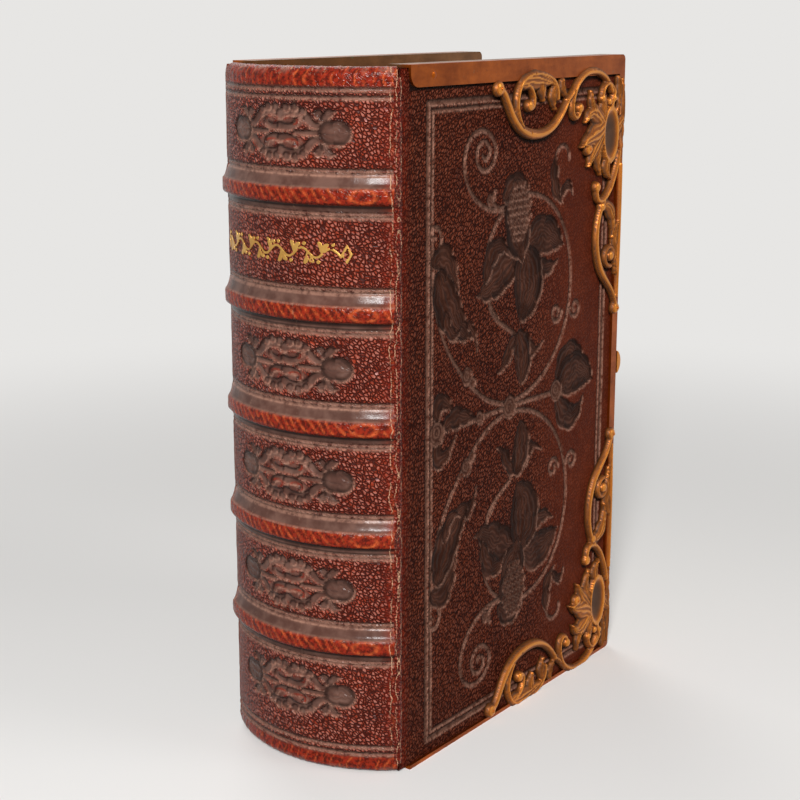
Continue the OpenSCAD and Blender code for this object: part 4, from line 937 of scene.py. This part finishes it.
def fleuron(relief, u, z, depth):
    """A blind ornament, the same to both sides and above and below its stem."""
    for s in (-1, 1):
        for t in (-1, 1):
            def at(p):
                return u + s * p[0], z + t * p[1]
            relief.trail(at((2.4, 2.1)), (3.1, 1.5), 0.85)
            for a, b, c, d, w0, w1 in FLEURON_STROKES:
                relief.groove(bezier(at(a), at(b), at(c), at(d)), w0, w1, depth, 0.0)
            for p, r in FLEURON_SCALLOPS:
                relief.groove([at(p), at((p[0] + 0.1, p[1]))], 2 * r, 2 * r, depth, 0.0)
            for a, b, c, d, width in FLEURON_LEAVES:
                relief.leaf(at(a), at(b), at(c), at(d), width, depth, 1)
        relief.groove([(u + 3.4 * s, z), (u + 10.8 * s, z)], 0.7, 1.1, depth, 0.1)
        relief.leaf((u + 9.6 * s, z), (u + 11 * s, z), (u + 13 * s, z), (u + 14.6 * s, z), 4.4, depth, 1)


def tool_band(relief, z):
    """A raised band: its shape, and a rolled ornament on its red face between burnished fields."""
    u, dz = relief.x, relief.z - z
    relief.height += np.interp(dz, *BAND_SHAPE.T, left=0, right=0)
    face = smooth(-2.0, -1.85, dz) * (1 - smooth(1.05, 1.3, dz))
    above = smooth(1.0, 1.3, dz) * (1 - smooth(3.5, 3.7, dz))
    below = smooth(-3.4, -3.2, dz) * (1 - smooth(-2, -1.9, dz))
    relief.mark("stamp", np.maximum(np.maximum(above, below), 0.85 * face))
    relief.mark("red", face)
    # A pale line along the band's top edge: rubbed wear and a painted highlight.
    relief.mark("rubbed_and_highlight", 0.7 * hump(dz, 1.2, 0.16))
    # Painted shadow: a dark line in the undercut below the band.
    relief.mark("painted_shade", hump(dz, -2.35, 0.42))
    # Leaves rolled along the face, with an oval between curled strokes
    lean = u + 0.7 * dz + 0.35 * np.sin(u * 0.9 + z)
    strokes = ripple(lean, HATCH_PITCH, z * 0.37) ** 7 * smooth(-1.7, -1.2, dz)
    eye = np.hypot((u - OVAL_U) / 2.1, (dz + 0.25) / 1.1)
    ornament = np.where(np.abs(u - OVAL_U) < 3.4, hump(eye, 1.1, 0.22), strokes)
    ornament = ornament * (0.6 + 0.4 * wander(u.shape, (60, 200), 21))
    relief.mark("tool", face * ornament)
    relief.height += 0.1 * face * (ornament - 0.4)


def tool_headcap(relief, cap, outer):
    """A headcap: red and hatched across, cracked where it turns over, and pale there from rubbing and a
    painted highlight.
    """
    u = relief.x
    lean = u + 0.5 * np.sin(relief.z * 1.2) + 0.5 * wander(u.shape, (50, 16), 8)
    hatch = ripple(lean, HATCH_PITCH) ** 14
    relief.height += 0.08 * cap * (hatch - 0.3)
    relief.mark("red", cap)
    relief.mark("stamp", cap * 0.85)
    relief.mark("tool", cap * hatch * (0.5 + 0.5 * wander(u.shape, (40, 30), 22)))
    # Pale where it turns over: rubbed wear and a painted highlight.
    relief.mark("rubbed_and_highlight", 0.6 * outer * smooth(0.0, 0.6, wander(u.shape, (30, 60), 10)))
    relief.mark("crease", outer * smooth(0.3, 0.7, wander(u.shape, (50, 70), 23)))


def wear_spine(relief):
    """Creases that run up the spine, rubbed and cracked joints, and the uneven lie of the leather."""
    u, shape = relief.x, relief.x.shape
    for at, share in CREASES:
        drift = 0.3 * wander(shape, (2, 60), 9)
        relief.mark("crease", share * hump(u - drift, at, 0.2) * (0.4 + 0.6 * relief.marks["red"]))
    joint = np.minimum(u, SPINE_ARC - u)
    relief.marks["joint"] = joint
    relief.mark("red", 0.65 * smooth(4.5, 0.8, joint))
    relief.mark("tool", 0.35 * smooth(2.6, 0.5, joint) * smooth(0, 0.7, wander(shape, (60, 180), 24)))
    relief.height += 0.04 * wander(shape, (12, 36), 11) + 0.02 * wander(shape, (50, 150), 12)


def spine_relief():
    turn = CAP_R * math.radians(CAP_TURN)
    relief = Relief(steps(JOINT_GAP, SPINE_ARC - JOINT_GAP, SPINE_PITCH),
                    steps(CAP_Z - turn, BOOK_H - CAP_Z + turn, SPINE_PITCH), LEATHER_MARKS)
    for z in FLEURON_Z:
        fleuron(relief, FLEURON_U, z, FLEURON_DEPTH)
    for z in [band + off for band in BAND_Z for off in BAND_FILLETS]:
        relief.groove([(-1, z), (SPINE_ARC + 1, z)], 0.42, 0.42, 0.22, 0.35)
    for z in CAP_FILLETS:
        relief.groove([(-1, z), (SPINE_ARC + 1, z)], 0.45, 0.45, 0.22, 0.35)
    for z in BAND_Z:
        tool_band(relief, z)
    tool_headcap(relief, smooth(135.9, 136.2, relief.z), smooth(137.8, 139.5, relief.z))
    tool_headcap(relief, 1 - smooth(3.6, 3.9, relief.z), 1 - smooth(0.5, 2.0, relief.z))
    wear_spine(relief)
    # The bands thin out into the covers' faces at the joints
    angle = np.abs(relief.x / SPINE_R - SPINE_HALF)
    room = (LEATHER_FACE - 0.08) / np.sin(np.maximum(angle, 0.1)) - SPINE_R
    relief.height = np.minimum(relief.height, np.minimum(room, BAND_TOP))
    return relief


def spine_surface(u, s, height):
    """Points of the spine: the headcaps turn over at both ends."""
    over = np.where(s > BOOK_H - CAP_Z, s - (BOOK_H - CAP_Z), np.where(s < CAP_Z, s - CAP_Z, 0))
    reach = CAP_R + np.minimum(height, 0.12)
    r = np.where(over == 0, SPINE_R + height, SPINE_R - CAP_R + reach * np.cos(over / CAP_R))
    z = np.where(over > 0, BOOK_H - CAP_Z, CAP_Z) + reach * np.sin(over / CAP_R)
    z = np.clip(np.where(over == 0, s, z), 0.25, BOOK_H - 0.25)
    x, y = spine_point(u, r)
    return np.stack([x, y, z], -1)


def spine_skin(relief):
    rows, columns = relief.x.shape
    points = spine_surface(relief.x, relief.z, relief.height).reshape(-1, 3)
    faces = grid_faces(rows, columns)
    # Inner face of the skin, one strip from cap to cap
    start = len(points)
    for z in (CAP_Z, BOOK_H - CAP_Z):
        x, y = spine_point(relief.xs, LINER_R + LINER_GAP)
        points = np.concatenate([points, np.stack([x, y, np.full(rows, z)], -1)])
    faces += [(start + i, start + rows + i, start + rows + i + 1, start + i + 1) for i in range(rows - 1)]
    for i in (0, rows - 1):
        end = [i * columns + j for j in range(columns)] + [start + rows + i, start + i]
        faces.append(tuple(end if i == 0 else reversed(end)))
    marks = {key: np.r_[grid.ravel(), np.zeros(2 * rows)] for key, grid in relief.marks.items()}
    made = piece("spine_skin", points, faces, "block", SPINE_LEATHER, marks)
    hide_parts("spine_leather")


STRIP_REACH = 1.3
STRIP_T = 0.06
STRIP_SUNK = 0.03
STRIP_DEEP = 0.35


def joint_strip(relief, name, rear):
    """The leather of a joint: it leaves the spine's face, crosses the joint and runs onto the cover."""
    on_spine = [k for k in range(len(relief.xs)) if SPINE_ARC - relief.xs[k] < STRIP_REACH]
    rows = [spine_surface(relief.x[k], relief.z[k], relief.height[k]) for k in on_spine]
    lifts = np.linspace(0, STRIP_T, len(rows))
    lifts[0] = -STRIP_SUNK
    for row, lift in zip(rows, lifts):
        row[:, 1] -= lift
    for x in np.linspace(0.15, STRIP_REACH, 5):
        row = rows[-1].copy()
        row[:, 0] = x
        lift = STRIP_T * (1 - smooth(0.4, STRIP_REACH, x)) - 0.3 * smooth(1.0, STRIP_REACH, x)
        row[:, 1] = -(LEATHER_FACE + lift)
        row[:, 2] = np.clip(row[:, 2], 0.5, BOOK_H - 0.5)
        rows.append(row)
    keep = (relief.zs > CAP_Z) & (relief.zs < BOOK_H - CAP_Z)
    face = np.stack(rows)[:, keep]
    count, columns = face.shape[:2]
    front = face.reshape(-1, 3)
    back = front + (0.0, STRIP_DEEP, 0.0)
    total = len(front)
    quads = grid_faces(count, columns)
    faces = [quad[::-1] for quad in quads] + [[total + i for i in quad] for quad in quads]
    faces += [(total + b, total + a, a, b) for a, b in pairs(grid_rim(count, columns))]
    apart = [SPINE_ARC - relief.xs[k] for k in on_spine] + [0.2 * i for i in range(1, 6)]
    marks = {"joint": np.tile(np.repeat(apart, columns), 2), "red": np.full(2 * total, 0.55)}
    made = piece(name, np.concatenate([front, back]), faces, None, SPINE_LEATHER, marks, rear)
    side = 1 if rear else -1
    start, end = place([(-0.9, side * LEATHER_FACE, 0), (0.6, side * LEATHER_FACE, 0)])
    tuple(start)
    tuple(end)
    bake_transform(made)


spine = spine_relief()
spine_skin(spine)
for side in ("front", "rear"):
    joint_strip(spine, side + "_joint_leather", side == "rear")


castings = {"head": cut_out(CAST, MOUNT_WALL), "tail": cut_out(CAST, MOUNT_WALL, TAIL_TRIM)}
for side in ("front", "rear"):
    for end, casting in castings.items():
        name = f"{side}_mount_{end}"
        mount = corner_mount(casting, name, side + "_cover", side == "rear", end == "head")
        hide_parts(f"{side}_corner_{end}")


# Gilt ornament in the second compartment: a running sprig between two lozenges

GILT_FROM, GILT_TO = 1.6, 37.4
GILT_WAVE = 6.0
GILT_SWING = 0.9
GILT_RAISED = 0.11
GILT_SUNK = 0.05


def gilt_row():
    relief = Relief(steps(GILT_FROM - 2, GILT_TO + 2, GILT_PITCH),
                    steps(TITLE_Z - 3, TITLE_Z + 3, GILT_PITCH), ("hollow",))

    def add(points, half):
        found = relief.trace(points, half)
        inside = relief.inside[found.window]
        relief.inside[found.window] = np.maximum(inside, (1 - found.near) * found.wide)

    def stem(at):
        return TITLE_Z + GILT_SWING * np.sin(2 * math.pi * (at - GILT_FROM) / GILT_WAVE)

    u = np.linspace(GILT_FROM + 2.2, GILT_TO - 2.2, 120)
    add(np.stack([u, stem(u)], 1), 0.22)
    leaf_half = np.array([0.1, 0.34, 0.44, 0.34, 0.1])
    for k, at in enumerate(np.arange(u[0] + 0.5, u[-1] - 1, GILT_WAVE / 2)):
        up = 1 if k % 2 else -1
        root = (at, stem(at))
        for lean, reach in ((1.3, 1.6), (-0.6, 1.9)):
            tip = (at + lean, TITLE_Z + up * reach)
            add(bezier(root, (root[0] + 0.2 * lean, tip[1]), tip, tip, 4), leaf_half)
        add([(at + 2.3, TITLE_Z + 1.7 * up), (at + 2.31, TITLE_Z + 1.7 * up)], 0.38)
    for at in (GILT_FROM + 1.1, GILT_TO - 1.1):
        lozenge = 1 - np.abs(relief.x - at) / 1.1 - np.abs(relief.z - TITLE_Z) / 1.9
        relief.inside = np.maximum(relief.inside, lozenge - 0.9 * (lozenge > 0.45))
    # Where the gold is rubbed away
    relief.inside = np.where(wander(relief.x.shape, (70, 12), 31) > 0.72, -1, relief.inside)
    data, count, faces = cut_out(relief, 0.0)
    u, z = data[:, 0], data[:, 1]
    top = np.stack([*spine_point(u, SPINE_R + GILT_RAISED), z], 1)
    foot = np.stack([*spine_point(u, SPINE_R - GILT_SUNK), z], 1)
    marks = {"hollow": np.zeros(2 * count)}
    piece("gilt_ornament", np.concatenate([top, foot]), faces, "block", GOLD_LEAF, marks)


gilt_row()


# Brass and paper pieces whose solids are right: the sheet metal gets rolled edges, the rest a finish

SHARP_FROM = 35
RIM_ROLL, PLATE_ROLL, ARM_ROLL = 0.16, 0.1, 0.2


def dress(node, finish):
    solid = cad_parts[node]
    solid.data.materials.clear()
    solid.data.materials.append(finish)


def rolled_edges(node, name, body, width, finish):
    """A copy of a metal piece with its sharp edges rolled over."""
    shape = bmesh.new()
    shape.from_mesh(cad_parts[node].data)
    bmesh.ops.remove_doubles(shape, verts=shape.verts, dist=2e-6)
    bmesh.ops.dissolve_limit(shape, angle_limit=math.radians(1), verts=shape.verts, edges=shape.edges)
    sharp = [edge for edge in shape.edges
             if len(edge.link_faces) == 2 and edge.calc_face_angle(0) > math.radians(SHARP_FROM)]
    bmesh.ops.bevel(shape, geom=sharp, offset=width / 1000, segments=3, profile=0.5, affect="EDGES",
                    clamp_overlap=True)
    mesh = bpy.data.meshes.new(name)
    shape.to_mesh(mesh)
    shape.free()
    mesh.materials.clear()
    mesh.materials.append(finish)
    made = show(name, mesh)
    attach(made, body)
    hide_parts(node)


for side in ("front", "rear"):
    rolled_edges(side + "_rim", side + "_brass_rim", side + "_cover", RIM_ROLL, RIM_BRASS)
    dress(side + "_rivet", RIM_BRASS)
    dress(side + "_corner_pins", GILT_BRASS)
    dress(side + "_board", CARD)
    dress(side + "_pastedown", ENDPAPER)
rolled_edges("clasp_keeper", "keeper", "front_cover", PLATE_ROLL, RIM_BRASS)
rolled_edges("clasp_hinge_plate", "hinge_plate", "rear_cover", PLATE_ROLL, RIM_BRASS)
rolled_edges("clasp_arm", "arm", "clasp", ARM_ROLL, GILT_BRASS)
for node in ("keeper_pins", "hinge_plate_pins", "clasp_hinge_pin"):
    dress(node, RIM_BRASS)
for node in ["spine_lining", "hollow_liner"] + [f"band_strip_{i}" for i in range(1, 6)]:
    dress(node, CARD)
for node in ("headband_head", "headband_tail"):
    dress(node, SILK)
dress("text_block", PAGES)


# Floor, light and camera

PALE = (0.8, 0.79, 0.775)
FLOOR_BOUNCE = (0.4, 0.395, 0.385)
FLOOR_REACH = 4.0
FLOOR_FADE = (0.14, 0.42)
AMBIENT = (1, 0.98, 0.96)
AMBIENT_STRENGTH = 0.12
LIT_AT = (0, 0, 0.07)


def floor():
    """Pale floor that keeps the shadow and fades into the backdrop away from the book."""
    f = Finish("floor_paper")
    at = f.node("ShaderNodeTexCoord", output="Object")
    away = f.node("ShaderNodeVectorMath", {"operation": "LENGTH"}, {0: at}, output="Value")
    seen = f.seen()
    sheet = f.shader(colour=f.mix(seen, FLOOR_BOUNCE, PALE), rough=0.9, specular=0.1)
    backdrop = f.node("ShaderNodeEmission", None, {"Color": (*PALE, 1), "Strength": 1.0})
    both = f.node("ShaderNodeMixShader", None, {0: seen * away.between(*FLOOR_FADE), 1: sheet, 2: backdrop})
    corners = [(FLOOR_REACH * x, FLOOR_REACH * y, 0) for x, y in ((-1, -1), (1, -1), (1, 1), (-1, 1))]
    mesh = bpy.data.meshes.new("floor")
    mesh.from_pydata(corners, [], [(0, 1, 2, 3)])
    mesh.materials.append(f.done(both))
    made = show("floor", mesh)


def studio_world():
    """Soft ambient light, and the pale backdrop for what sees it straight or in metal."""
    f = Finish("studio", "worlds")
    ambient = f.node("ShaderNodeBackground", None, {"Color": (*AMBIENT, 1), "Strength": AMBIENT_STRENGTH})
    backdrop = f.node("ShaderNodeBackground", None, {"Color": (*PALE, 1)})
    both = f.node("ShaderNodeMixShader", None, {0: f.seen(), 1: ambient, 2: backdrop})
    bpy.context.scene.world = f.done(both, "ShaderNodeOutputWorld")


def lamp(name, at, size, power):
    data = bpy.data.lights.new(name, "AREA")
    data.shape = "DISK"
    data.size = size
    data.energy = power
    made = show(name, data)
    made.location = at
    made.rotation_euler = (Vector(LIT_AT) - Vector(at)).to_track_quat("-Z", "Y").to_euler()


floor()
lamp("key", (-0.76, -0.46, 0.54), 0.2, 13.5)
lamp("fill", (0.25, -0.9, 0.75), 0.5, 1.8)
lamp("back", (0.5, 0.7, 0.9), 0.6, 3)
studio_world()

# The photograph's camera: where it stands, its heading from the book's length, and its pitch
CAMERA_AT = (-286.175, -199.14, 150.36)
HEADING, PITCH, LENS = 35.79, 13.47, 73.98


def camera():
    heading, pitch = math.radians(HEADING), math.radians(PITCH)
    ahead = Vector((math.cos(heading) * math.cos(pitch), math.sin(heading) * math.cos(pitch),
                    -math.sin(pitch)))
    right = Vector((math.sin(heading), -math.cos(heading), 0))
    data = bpy.data.cameras.new("camera")
    data.lens = LENS
    made = show("camera", data)
    turn = Matrix((right, right.cross(ahead), -ahead)).transposed().to_4x4()
    made.matrix_world = Matrix.Translation(Vector(CAMERA_AT) / 1000) @ turn
    bpy.context.scene.camera = made


camera()
bpy.context.scene.view_settings.view_transform = "Standard"
